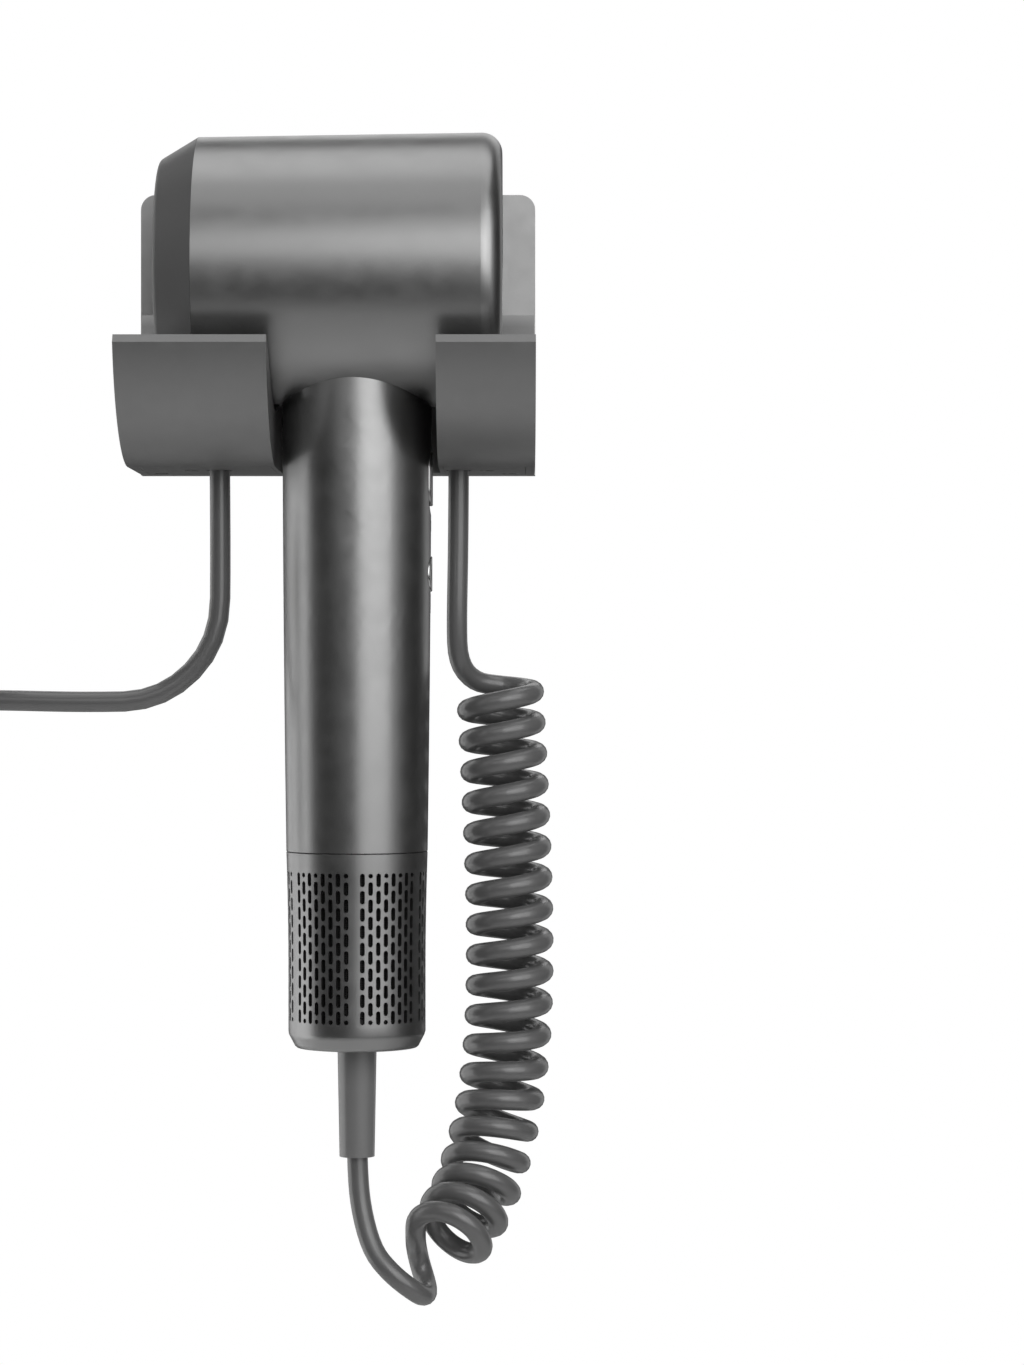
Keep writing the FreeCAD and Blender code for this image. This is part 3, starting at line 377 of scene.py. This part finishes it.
FINISHES = {
    "steel": drawn_metal("steel", grey(0.42), grey(0.55), 0.25, 0.4),
    "cradle": cradle_finish(),
    "screw": drawn_metal("screw", grey(0.4, 0.02), grey(0.52, 0.02), 0.25, 0.4, (1.0, 8.0, 8.0)),
    "rubber_dark": moulded("rubber_dark", grey(0.018), grey(0.03), 0.6, 0.8),
    "black_plastic": moulded("black_plastic", grey(0.014), grey(0.022), 0.38, 0.52),
    "white_plastic": moulded("white_plastic", grey(0.62, 0.01), grey(0.7, 0.01), 0.35, 0.5),
    "wire": moulded("wire", (0.22, 0.02, 0.015), (0.3, 0.03, 0.02), 0.3, 0.4, 900.0, 0.01),
    "cord": cord_finish("cord", grey(0.132), grey(0.148)),
    "tie": woven_tie(),
    "plug": moulded("plug", grey(0.06), grey(0.08), 0.34, 0.48, 1700.0, 0.015),
    "brass_pins": drawn_metal("brass_pins", (0.62, 0.48, 0.22), (0.72, 0.58, 0.3), 0.18, 0.3,
                              (8.0, 1.0, 8.0)),
    "body_paint": metallic_paint("body_paint", grey(0.30), grey(0.36), 0.30, 0.40),
    "dark_ring": moulded("dark_ring", grey(0.09), grey(0.11), 0.36, 0.46, 1900.0, 0.008),
    "mica": moulded("mica", (0.5, 0.43, 0.32), (0.62, 0.54, 0.42), 0.4, 0.6, 700.0, 0.05),
    "heater_wire": drawn_metal("heater_wire", grey(0.28), grey(0.38), 0.3, 0.5),
    "knurl": knurl_finish(),
    "black_gloss": moulded("black_gloss", grey(0.006), grey(0.010), 0.08, 0.16, 800.0, 0.002,
                           Coat_Weight=0.5),
    "slider": metallic_paint("slider", grey(0.32), grey(0.38), 0.26, 0.34),
    "silicone": moulded("silicone", grey(0.5), grey(0.58), 0.4, 0.55, 900.0, 0.01, Subsurface_Weight=0.2),
    "pcb": circuit_board(),
    "components": moulded("components", grey(0.03), grey(0.05), 0.35, 0.5),
    "motor_metal": drawn_metal("motor_metal", grey(0.5), grey(0.62), 0.28, 0.42, (1.0, 1.0, 12.0)),
    "filter": woven_metal(),
    "sleeve_metal": metallic_paint("sleeve_metal", grey(0.31), grey(0.37), 0.30, 0.40),
}
slot_of = {part["node"]: part["material_slot"] for part in frame["record"]["subparts"]}


def paint(obj, slot):
    obj.data.materials.clear()
    obj.data.materials.append(FINISHES[slot])


for node_name, node in nodes.items():
    paint(node, slot_of[node_name])
# The strain relief is the cord's own rubber, painted paler all over: a painted highlight for the sheen it
# catches.
FINISHES["relief"] = cord_finish("relief", grey(0.19), grey(0.22))
paint(nodes["strain_relief"], "relief")


# ---------------------------------------------------------------------------- cords

CORD_RADIUS = 2.85
CURL_RADIUS, CURL_PITCH, CURL_START = 9.4, 8.57, 8.7
FIRST_TURN, LAST_TURN = -0.28, 18.5
POINTS_PER_TURN = 16
# A quadratic curve runs inside its control points; this puts it back on the circle.
ROUND_OFF = (3 + math.cos(2 * math.pi / POINTS_PER_TURN)) / 4

LEAD_ROUTE = [
    (34.6, -28.0, -34.0),
    (34.5, -28.3, -60.0),
    (34.0, -27.8, -82.0),
    (34.3, -25.6, -93.0),
    (38.8, -21.0, -98.6),
]
CURL_ROUTE = [
    (45.6, -28.0, -93.0),
    (48.4, -28.0, -142.0),
    (49.0, -28.0, -187.0),
    (46.6, -28.6, -214.0),
    (41.6, -34.0, -234.0),
    (36.0, -43.0, -246.0),
    (28.6, -52.5, -253.4),
]
FOLD_ROUTE = [
    (23.0, -44.6, -250.6),
    (23.0, -39.4, -253.6),
    (23.8, -36.6, -258.4),
    (25.4, -38.0, -263.2),
    (26.3, -42.8, -266.2),
    (25.0, -48.2, -266.2),
    (21.2, -51.6, -263.2),
    (16.2, -52.0, -259.0),
    (11.4, -49.8, -253.6),
    (8.3, -46.9, -243.4),
    (7.1, -45.2, -233.0),
    (7.0, -45.0, -222.0),
]
SUPPLY_ROUTE = [
    (-31.9, -28.0, -34.0),
    (-31.6, -28.3, -63.0),
    (-31.9, -28.4, -87.9),
    (-47.8, -28.2, -103.8),
    (-70.5, -27.8, -104.2),
    (-93.5, -25.0, -103.6),
    (-117.0, -21.8, -103.6),
    (-131.0, -25.4, -100.8),
    (-140.0, -29.0, -100.0),
]
TAIL_ROUTE = [
    (-111.9, -31.0, -128.0),
    (-113.2, -31.2, -118.0),
    (-115.0, -31.0, -108.0),
    (-115.0, -31.0, -101.0),
]


def along(line):
    """Gives position, tangent and a carried side direction at a distance along a line."""
    tangents = [(b - a).normalized() for a, b in zip(line, line[1:])]
    tangents.append(tangents[-1])
    sides = []
    side = Vector((1, 0, 0))
    for tangent in tangents:
        side = (side - tangent * side.dot(tangent)).normalized()
        sides.append(side)
    reached = [0.0]
    for a, b in zip(line, line[1:]):
        reached.append(reached[-1] + (b - a).length)

    def at(distance):
        i = 0
        while i < len(line) - 2 and reached[i + 1] < distance:
            i += 1
        share = (distance - reached[i]) / (reached[i + 1] - reached[i])
        side_here = sides[i].lerp(sides[i + 1], share)
        tangent = tangents[i].lerp(tangents[i + 1], share).normalized()
        side_here = (side_here - tangent * side_here.dot(tangent)).normalized()
        return line[i].lerp(line[i + 1], share), tangent, side_here

    return at


def curls():
    """Control points of the curls, from behind the first turn to the side of the last."""
    at = along(line_of(CURL_ROUTE, 24))
    count = round((LAST_TURN - FIRST_TURN) * POINTS_PER_TURN)
    points = []
    for i in range(count + 1):
        turns = LAST_TURN - (count - i) / POINTS_PER_TURN
        middle, tangent, side = at((CURL_START + CURL_PITCH * turns) * MM)
        phase = turns * 2 * math.pi
        out = side * math.cos(phase) + tangent.cross(side) * math.sin(phase)
        points.append(middle / MM + out * CURL_RADIUS / ROUND_OFF)
    return points


curly_points = LEAD_ROUTE + curls() + FOLD_ROUTE
curly_cord = link("curly_cord", mesh_of(nurbs("curly_tube", curly_points, 4, CORD_RADIUS)))
curly_cord.data.shade_smooth()
curly_path = line_of(curly_points, 4)
paint(curly_cord, "cord")
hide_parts("curly_lead", "curly_coil", "curly_tail")
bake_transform(curly_cord)

RING_MIDDLE = Vector((-145.0, -28.0, -134.0))
RING_RADIUS = 30.0
STRAND_SHIFT = 4.17  # from the bundle's middle line to each of its four strands
RING_TURNS = 3.75
STRAND_START = -22.5


def ring_turns():
    """The put-away turns: strands that wind slowly round the bundle's middle line, a quarter turn each time."""
    points = []
    count = round(RING_TURNS * POINTS_PER_TURN)
    for i in range(1, count + 1):
        turns = RING_TURNS - (count - i) / POINTS_PER_TURN
        phase = turns * 2 * math.pi
        lay = math.radians(STRAND_START + 90 * turns)
        radius = (RING_RADIUS + STRAND_SHIFT * math.cos(lay)) / ROUND_OFF
        points.append(RING_MIDDLE + Vector((-radius * math.sin(phase), STRAND_SHIFT * math.sin(lay),
                                            radius * math.cos(phase))))
    return points


supply_cord = nurbs("supply_lead", SUPPLY_ROUTE + ring_turns() + TAIL_ROUTE, 4, CORD_RADIUS)
paint(supply_cord, "cord")
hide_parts("supply_cord", "supply_coil", "supply_tail")
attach(supply_cord, "cradle")


# ---------------------------------------------------------------------------- intake sleeve

COLUMNS = 54
COLUMNS_PER_GROUP = 9
CELL_HEIGHT = 4.64
CELLS_PER_COLUMN = 9
BAND_TOP = -149.59
SLOT_WIDTH, SLOT_LENGTH = 1.26, 3.72
SEAM, WAIST, CHAMFER_TOP, SLEEVE_FOOT = -144.9, -178.0, -194.4, -198.4
SEAM_RADIUS, SLEEVE_RADIUS, FOOT_RADIUS, SLEEVE_WALL, FOOT_HOLE = 19.33, 18.75, 16.7, 1.2, 5.9
SIDE_STEPS = 4
SCOOP_START, SCOOP_END, SCOOP_RAMP, SCOOP_DEPTH = -6.0, 80.0, 8.0, 0.9
CHAMFER_STEPS = 5
COLUMN_SHIFT = -4  # columns from the thumb side to where the first column starts
DOT_LENGTH = 1.04 * SLOT_WIDTH
LIP_FOOT = -147.2
FLOOR_THICKNESS = 1.8


def sleeve_radius(z):
    """Outer radius of the sleeve at a height."""
    if z <= WAIST:
        return SLEEVE_RADIUS
    rise = (z - WAIST) / (SEAM - WAIST)
    return SLEEVE_RADIUS + (SEAM_RADIUS - SLEEVE_RADIUS) * rise**2


def scoop(radius, turn, z):
    """Depth of the finger scoop that starts at the thumb side and fades out round the foot's chamfer."""
    turn = math.degrees(math.atan2(math.sin(turn), math.cos(turn)))
    on_chamfer = SLEEVE_FOOT < z < CHAMFER_TOP and radius > FOOT_RADIUS - SLEEVE_WALL
    if not (SCOOP_START < turn < SCOOP_END and on_chamfer):
        return 0.0
    opening = min(1.0, (turn - SCOOP_START) / SCOOP_RAMP)
    fade = 1.0 - (turn - SCOOP_START) / (SCOOP_END - SCOOP_START)
    height = (z - SLEEVE_FOOT) / (CHAMFER_TOP - SLEEVE_FOOT)
    return SCOOP_DEPTH * math.sin(math.pi / 2 * opening) * fade * math.sin(math.pi * height)


def handle_point(radius, turn, z):
    return (HANDLE_X + radius * math.cos(turn), AXIS_Y + radius * math.sin(turn), z)


def slot_cell(column, low, high, slot_length):
    """One cell of the band: its border and its slot's outline, as (turn, z) pairs that match one to one."""
    width = 2 * math.pi / COLUMNS
    middle = (column + COLUMN_SHIFT + 0.5) * width
    left, right = middle - width / 2, middle + width / 2
    steps = [i / SIDE_STEPS for i in range(SIDE_STEPS)]
    height_steps = round((high - low) / CELL_HEIGHT * SIDE_STEPS)
    ups = [i / height_steps for i in range(height_steps)]
    border = [(left + (right - left) * t, low) for t in steps]
    border += [(right, low + (high - low) * t) for t in ups]
    border += [(right - (right - left) * t, high) for t in steps]
    border += [(left, high - (high - low) * t) for t in ups]
    if not slot_length:
        return border, None
    half = SLOT_WIDTH / 2
    reach = (slot_length - SLOT_WIDTH) / 2
    centre = (low + high) / 2
    across = half / SLEEVE_RADIUS
    outline = []
    for i in range(SIDE_STEPS):
        swing = math.pi + math.pi * i / SIDE_STEPS
        outline.append((middle + across * math.cos(swing), centre - reach + half * math.sin(swing)))
    outline += [(middle + across, centre - reach + 2 * reach * i / height_steps) for i in range(height_steps)]
    for i in range(SIDE_STEPS):
        swing = math.pi * i / SIDE_STEPS
        outline.append((middle + across * math.cos(swing), centre + reach + half * math.sin(swing)))
    outline += [(middle - across, centre + reach - 2 * reach * i / height_steps) for i in range(height_steps)]
    return border, outline


def sleeve():
    """The perforated sleeve: six groups of eight columns of short slots in staggered rows."""
    points, faces = [], []

    def corner(radius, turn, z):
        points.append(handle_point(radius, turn, z))
        return len(points) - 1

    def rings(profile):
        """Bands of faces between circles of (radius, z)."""
        around = COLUMNS * SIDE_STEPS
        shift = COLUMN_SHIFT * 2 * math.pi / COLUMNS
        turns = [shift + 2 * math.pi * i / around for i in range(around)]
        circles = [[corner(r - scoop(r, turn, z), turn, z) for turn in turns] for r, z in profile]
        for a, b in zip(circles, circles[1:]):
            for i in range(around):
                j = (i + 1) % around
                faces.append((a[i], a[j], b[j], b[i]))

    def patch(shape):
        """Joins matching loops on the outer face, the inner face and through the wall."""
        border, outline = shape
        outer = [corner(sleeve_radius(z), turn, z) for turn, z in border]
        inner = [corner(sleeve_radius(z) - SLEEVE_WALL, turn, z) for turn, z in border]
        if outline is None:
            faces.append(tuple(outer))
            faces.append(tuple(reversed(inner)))
            return
        hole_out = [corner(sleeve_radius(z), turn, z) for turn, z in outline]
        hole_in = [corner(sleeve_radius(z) - SLEEVE_WALL, turn, z) for turn, z in outline]
        for i in range(len(border)):
            j = (i + 1) % len(border)
            faces.append((outer[i], outer[j], hole_out[j], hole_out[i]))
            faces.append((inner[j], inner[i], hole_in[i], hole_in[j]))
            faces.append((hole_out[i], hole_out[j], hole_in[j], hole_in[i]))

    def plain(column, low, high):
        """A solid cell, in a grid so that it follows the curve."""
        width = 2 * math.pi / COLUMNS
        start = (column + COLUMN_SHIFT) * width
        for i in range(SIDE_STEPS):
            left, right = start + width * i / SIDE_STEPS, start + width * (i + 1) / SIDE_STEPS
            for j in range(SIDE_STEPS):
                z0, z1 = low + (high - low) * j / SIDE_STEPS, low + (high - low) * (j + 1) / SIDE_STEPS
                for wall in (0.0, SLEEVE_WALL):
                    faces.append(tuple(corner(sleeve_radius(z) - wall, turn, z)
                                       for turn, z in ((left, z0), (right, z0), (right, z1), (left, z1))))

    band_low = BAND_TOP - CELL_HEIGHT * CELLS_PER_COLUMN
    for column in range(COLUMNS):
        place = column % COLUMNS_PER_GROUP
        if place == COLUMNS_PER_GROUP - 1:
            for row in range(CELLS_PER_COLUMN):
                plain(column, band_low + row * CELL_HEIGHT, band_low + (row + 1) * CELL_HEIGHT)
        elif place % 2 == 0:
            for row in range(CELLS_PER_COLUMN):
                low = band_low + row * CELL_HEIGHT
                patch(slot_cell(column, low, low + CELL_HEIGHT, SLOT_LENGTH))
        else:
            half = CELL_HEIGHT / 2
            patch(slot_cell(column, band_low, band_low + half, DOT_LENGTH))
            patch(slot_cell(column, BAND_TOP - half, BAND_TOP, DOT_LENGTH))
            for row in range(CELLS_PER_COLUMN - 1):
                low = band_low + half + row * CELL_HEIGHT
                patch(slot_cell(column, low, low + CELL_HEIGHT, SLOT_LENGTH))
    top, lip, inner = sleeve_radius(BAND_TOP), sleeve_radius(LIP_FOOT), SLEEVE_WALL
    rings([(top, BAND_TOP), (lip, LIP_FOOT), (SEAM_RADIUS - 0.02, SEAM - 0.15), (SEAM_RADIUS - 0.18, SEAM),
           (SEAM_RADIUS - inner, SEAM), (lip - inner, LIP_FOOT), (top - inner, BAND_TOP)])
    low, high = (FOOT_RADIUS + 0.28, SLEEVE_FOOT + 0.55), (SLEEVE_RADIUS - 0.12, CHAMFER_TOP - 0.3)
    chamfer = [tuple(a + (b - a) * i / CHAMFER_STEPS for a, b in zip(high, low))
               for i in range(CHAMFER_STEPS + 1)]
    rings([(SLEEVE_RADIUS, band_low), (SLEEVE_RADIUS, CHAMFER_TOP + 0.5), *chamfer,
           (FOOT_RADIUS - 0.25, SLEEVE_FOOT + 0.1),
           (FOOT_RADIUS - 1.0, SLEEVE_FOOT), (FOOT_HOLE, SLEEVE_FOOT),
           (FOOT_HOLE, SLEEVE_FOOT + FLOOR_THICKNESS),
           (FOOT_RADIUS - inner, SLEEVE_FOOT + FLOOR_THICKNESS), (SLEEVE_RADIUS - inner, CHAMFER_TOP - 0.3),
           (SLEEVE_RADIUS - inner, band_low)])
    return mesh_piece("perforated_sleeve", points, faces, 35.0)


sleeve_piece = sleeve()
paint(sleeve_piece, "sleeve_metal")
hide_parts("intake_sleeve")
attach(sleeve_piece, "sleeve")


# ---------------------------------------------------------------------------- knurled disc

SPIKES = 49
SPIKE_ROWS = 6
DISC_SHARP = 8.0
HOLE_SIDES = 40
KNURL_IN, KNURL_OUT, DISC_RADIUS = 16.5, 31.1, 31.6
DISC_BACK, DISC_FACE, SPIKE_HEIGHT = HEAD_REAR - 3.9, HEAD_REAR - 3.0, 1.8
RIDGE_SHARE = 0.62  # how far each spike's ridge reaches towards its two ends
CAP_SIDE, CAP_DROP, CAP_GAP_RADIUS = 11.15, 24.7, 3.35


def head_point(x, radius, turn):
    return (x, AXIS_Y + radius * math.sin(turn), HEAD_Z + radius * math.cos(turn))


def knurled_disc():
    """A ring of ridged diamonds in staggered rows, closed behind."""
    points, faces = [], []

    def corner(x, radius, turn):
        points.append(head_point(x, radius, turn))
        return len(points) - 1

    step = 2 * math.pi / SPIKES
    radii = [KNURL_IN + (KNURL_OUT - KNURL_IN) * k / SPIKE_ROWS for k in range(SPIKE_ROWS + 1)]
    grid = [[corner(DISC_FACE, r, (j + 0.5 * (k % 2)) * step) for j in range(SPIKES)]
            for k, r in enumerate(radii)]
    for k in range(1, SPIKE_ROWS):
        crest = DISC_FACE + SPIKE_HEIGHT * radii[k] / KNURL_OUT
        for j in range(SPIKES):
            left = grid[k][j - 1] if k % 2 else grid[k][j]
            right = grid[k][j] if k % 2 else grid[k][(j + 1) % SPIKES]
            low, high = grid[k - 1][j], grid[k + 1][j]
            turn = (j + 0.5 * ((k + 1) % 2)) * step
            near = corner(crest, radii[k] - RIDGE_SHARE * (radii[k] - radii[k - 1]), turn)
            far = corner(crest, radii[k] + RIDGE_SHARE * (radii[k + 1] - radii[k]), turn)
            for side in (left, right):
                faces += [(low, near, side), (near, far, side), (far, high, side)]
    around = SPIKES * 2
    edges = {}
    for name, x, radius in (("face_in", DISC_FACE, KNURL_IN),
                            ("face_out", DISC_FACE, DISC_RADIUS - 0.15),
                            ("edge", DISC_FACE - 0.15, DISC_RADIUS),
                            ("back_out", DISC_BACK, DISC_RADIUS),
                            ("back_in", DISC_BACK, KNURL_IN + 0.1)):
        edges[name] = [corner(x, radius, i * step / 2) for i in range(around)]
    for a, b in (("face_out", "edge"), ("edge", "back_out"), ("back_out", "back_in"), ("back_in", "face_in")):
        for i in range(around):
            j = (i + 1) % around
            faces.append((edges[a][i], edges[a][j], edges[b][j], edges[b][i]))
    last, first = grid[SPIKE_ROWS], grid[0]
    for j in range(SPIKES):
        following = (j + 1) % SPIKES
        valley = grid[SPIKE_ROWS - 1][j]
        out = edges["face_out"]
        faces.append((last[j], valley, out[2 * j + 1], out[2 * j]))
        faces.append((valley, last[following], out[(2 * j + 2) % around], out[2 * j + 1]))
        faces.append((first[j], edges["face_in"][2 * j + 1], grid[1][j]))
        faces.append((edges["face_in"][2 * j + 1], first[following], grid[1][j]))
    return mesh_piece("knurled_disc", points, faces, DISC_SHARP)


def drill(piece, centres, radius, low, high):
    """Cuts round holes along X through a closed mesh."""
    points, faces = [], []
    sides = HOLE_SIDES
    turns = [i * 2 * math.pi / sides for i in range(sides)]
    for y, z in centres:
        base = len(points)
        for x in (low, high):
            points += [(x, y + radius * math.cos(turn), z + radius * math.sin(turn)) for turn in turns]
        faces.append(tuple(base + i for i in range(sides)))
        faces.append(tuple(base + sides + i for i in reversed(range(sides))))
        for i in range(sides):
            j = (i + 1) % sides
            faces.append((base + i, base + sides + i, base + sides + j, base + j))
    tool = mesh_piece("drill_tool", points, faces)
    cutter = piece.modifiers.new("holes", "BOOLEAN")
    cutter.operation = "DIFFERENCE"
    cutter.solver = "EXACT"
    cutter.object = tool
    keep_modified(piece)
    bpy.data.objects.remove(tool)


disc = knurled_disc()
drill(disc, [(AXIS_Y - CAP_SIDE, HEAD_Z - CAP_DROP), (AXIS_Y + CAP_SIDE, HEAD_Z - CAP_DROP)], CAP_GAP_RADIUS,
      DISC_BACK - 1, HEAD_REAR)
tidy_mesh(disc.data, DISC_SHARP)
paint(disc, "knurl")
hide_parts("rear_disc")
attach(disc, "dryer")


# ---------------------------------------------------------------------------- slider and button

KEY_STEPS = 16


def key_outline(radius, straight):
    """Points (y, z) round a rounded-end shape; a circle where the straight part is nothing."""
    turns = [math.pi * i / KEY_STEPS for i in range(KEY_STEPS + 1)]
    top = [(radius * math.cos(turn), straight + radius * math.sin(turn)) for turn in turns]
    return top + [(-y, -z) for y, z in top]


def key_cap(name, radius, straight, height, face, foot):
    """A cap on the thumb side whose face curves with the handle, with a softened edge."""
    rims = [(radius, face - 0.4), (radius - 0.08, face - 0.14), (radius - 0.28, face), (radius * 0.66, face),
            (radius * 0.33, face), (0.0, face)]
    rings = [[(HANDLE_X + foot, AXIS_Y + y, height + z) for y, z in key_outline(r, straight)]
             for r in (0.0, radius)]
    for r, reach in rims:
        rings.append([(HANDLE_X + math.sqrt(reach**2 - y**2), AXIS_Y + y, height + z)
                      for y, z in key_outline(r, straight)])
    count = len(rings[0])
    faces = []
    for k in range(len(rings) - 1):
        low, high = k * count, (k + 1) * count
        for i in range(count):
            j = (i + 1) % count
            faces.append((low + i, low + j, high + j, high + i))
    return mesh_piece(name, [point for ring in rings for point in ring], faces, 50.0)


for key_name, node_name, body, slot, shape in (
        ("curved_slider", "power_slider", "slider", "slider", (4.65, 2.9, -42.9, 20.75, 19.35)),
        ("curved_button", "temperature_button", "button", "knurl", (4.85, 0.0, -69.0, 20.6, 16.6))):
    cap = key_cap(key_name, *shape)
    paint(cap, slot)
    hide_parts(node_name)
    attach(cap, body)


# ---------------------------------------------------------------------------- switch marks

MARK_LINE, MARK_THICK, MARK_LIFT = 0.34, 0.05, 0.02
ON_TOP, ON_FOOT = -32.1, -34.4
OFF_MIDDLE, OFF_RADIUS = -55.9, 1.3
BULB_MIDDLE, BULB_RADIUS, STEM_RADIUS, STEM_TOP = -78.3, 1.35, 0.72, -75.4
THUMB_SIDE = 40.0


def arc(middle, radius, start, end, steps):
    """Points (y, z) along an arc, in degrees from +Y."""
    turns = [math.radians(start + (end - start) * i / steps) for i in range(steps + 1)]
    return [(radius * math.cos(turn), middle + radius * math.sin(turn)) for turn in turns]


def straight(a, b, steps=8):
    return [tuple(p + (q - p) * i / steps for p, q in zip(a, b)) for i in range(steps + 1)]


def printed_mark(name, lines, width=MARK_LINE):
    """Thin ink lines laid on the handle, each a list of (y, z) points, closed where it ends on its start."""
    points, faces = [], []
    for line in lines:
        closed = math.dist(line[0], line[-1]) < 1e-6
        if closed:
            line = line[:-1]
        base, count = len(points), len(line)
        for i, here in enumerate(line):
            before = line[i - 1] if closed or i else here
            after = line[(i + 1) % count] if closed or i < count - 1 else here
            along_y, along_z = after[0] - before[0], after[1] - before[1]
            size = math.hypot(along_y, along_z)
            for side in (-0.5, 0.5):
                points.append((THUMB_SIDE, AXIS_Y + here[0] - side * width * along_z / size,
                               here[1] + side * width * along_y / size))
        for i in range(count if closed else count - 1):
            j = (i + 1) % count
            faces.append((base + 2 * i, base + 2 * i + 1, base + 2 * j + 1, base + 2 * j))
    piece = mesh_piece(name, points, faces)
    wrap = piece.modifiers.new("lay", "SHRINKWRAP")
    wrap.target = nodes["handle_shell"]
    wrap.wrap_method = "PROJECT"
    wrap.use_project_x = True
    wrap.use_negative_direction = True
    wrap.use_positive_direction = False
    wrap.offset = MARK_LIFT * MM
    ink = piece.modifiers.new("ink", "SOLIDIFY")
    ink.thickness = MARK_THICK * MM
    ink.offset = 0.0
    keep_modified(piece)
    paint(piece, "black_plastic")
    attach(piece, "dryer")
    return piece


def thermometer():
    """Outline of a bulb thermometer with its column and bulb marked inside."""
    open_angle = math.degrees(math.acos(STEM_RADIUS / BULB_RADIUS))
    neck = BULB_MIDDLE + BULB_RADIUS * math.sin(math.radians(open_angle))
    cap = arc(STEM_TOP, STEM_RADIUS, 0, 180, 10)
    bulb = arc(BULB_MIDDLE, BULB_RADIUS, 180 - open_angle, 360 + open_angle, 24)
    left = straight(cap[-1], (-STEM_RADIUS, neck), 4)[1:-1]
    right = straight((STEM_RADIUS, neck), cap[0], 4)[1:]
    outside = cap + left + bulb + right
    column = straight((0.0, BULB_MIDDLE), (0.0, STEM_TOP - 1.2))
    dot = arc(BULB_MIDDLE, 0.3, 0, 360, 12)
    return [outside, column, dot]


printed_mark("on_mark", [straight((0.0, ON_TOP), (0.0, ON_FOOT))], 0.42)
printed_mark("off_mark", [arc(OFF_MIDDLE, OFF_RADIUS, 0, 360, 36)])
printed_mark("heat_mark", thermometer(), 0.24)


# ---------------------------------------------------------------------------- light and floor

LIGHT_MIDDLE = Vector((0.0, -0.045, -0.09))


def softbox(name, azimuth, elevation, distance, width, height, watts):
    """A soft light that faces the object; azimuth 0 is where the camera stands, and 90 is to its right."""
    data = bpy.data.lights.new(name, "AREA")
    data.shape = "RECTANGLE"
    data.size, data.size_y = width, height
    data.energy = watts
    obj = link(name, data)
    a, e = math.radians(azimuth), math.radians(elevation)
    away = Vector((math.sin(a) * math.cos(e), -math.cos(a) * math.cos(e), math.sin(e)))
    obj.location = LIGHT_MIDDLE + away * distance
    obj.rotation_euler = (-away).to_track_quat("-Z", "Y").to_euler()
    obj.visible_camera = False


for settings in (
        # name, azimuth, elevation, distance, width, height, watts
        ("key", 30, 19, 1.8, 1.8, 1.68, 18.5),
        ("key_side", 62, 8, 1.1, 0.5, 1.2, 0.5),
        ("front", 0, 21, 1.1, 1.3, 0.42, 1.4),
        ("upper_front", 0, 62, 1.0, 1.3, 0.4, 1.2),
        ("top", 0, 96, 1.0, 1.3, 0.72, 3.6),
        ("left", -101, 0, 1.1, 0.9, 1.6, 5.6),
        ("left_rear", -137, 4, 1.1, 0.4, 1.6, 2.0),
        ("bounce", 0, -80, 0.7, 1.0, 0.4, 0.12),
        ("right", 142, 4, 1.1, 0.5, 1.5, 1.1),
        ("rear", 180, 32, 1.6, 1.2, 0.6, 2.5),
):
    softbox(*settings)

ROOM_GREY = 0.04
world = bpy.data.worlds.new("studio")
scene.world = world
world.use_nodes = True
world_nodes, world_links = world.node_tree.nodes, world.node_tree.links
seen = world_nodes.new("ShaderNodeLightPath").outputs["Is Camera Ray"]
dim = world_nodes["Background"]
dim.inputs["Color"].default_value = (*grey(ROOM_GREY), 1)
bright = world_nodes.new("ShaderNodeBackground")
bright.inputs["Color"].default_value = (1.0, 1.0, 1.0, 1)
choice = world_nodes.new("ShaderNodeMixShader")
world_links.new(seen, choice.inputs["Fac"])
world_links.new(dim.outputs["Background"], choice.inputs[1])
world_links.new(bright.outputs["Background"], choice.inputs[2])
world_links.new(choice.outputs["Shader"], world_nodes["World Output"].inputs["Surface"])

FLOOR_HEIGHT, FLOOR_RADIUS, FLOOR_SIDES = -850.0, 1400.0, 128
floor_turns = [2 * math.pi * i / FLOOR_SIDES for i in range(FLOOR_SIDES)]
floor = mesh_piece("floor", [(FLOOR_RADIUS * math.cos(turn), FLOOR_RADIUS * math.sin(turn), FLOOR_HEIGHT)
                             for turn in floor_turns], [tuple(range(FLOOR_SIDES))])
pale = Finish("pale_floor", Roughness=0.6)
pale.colour(pale.noise(6.0), grey(0.78), grey(0.82))
pale.glow(0.86)
floor.data.materials.append(pale.material)

scene.view_settings.view_transform = "Standard"
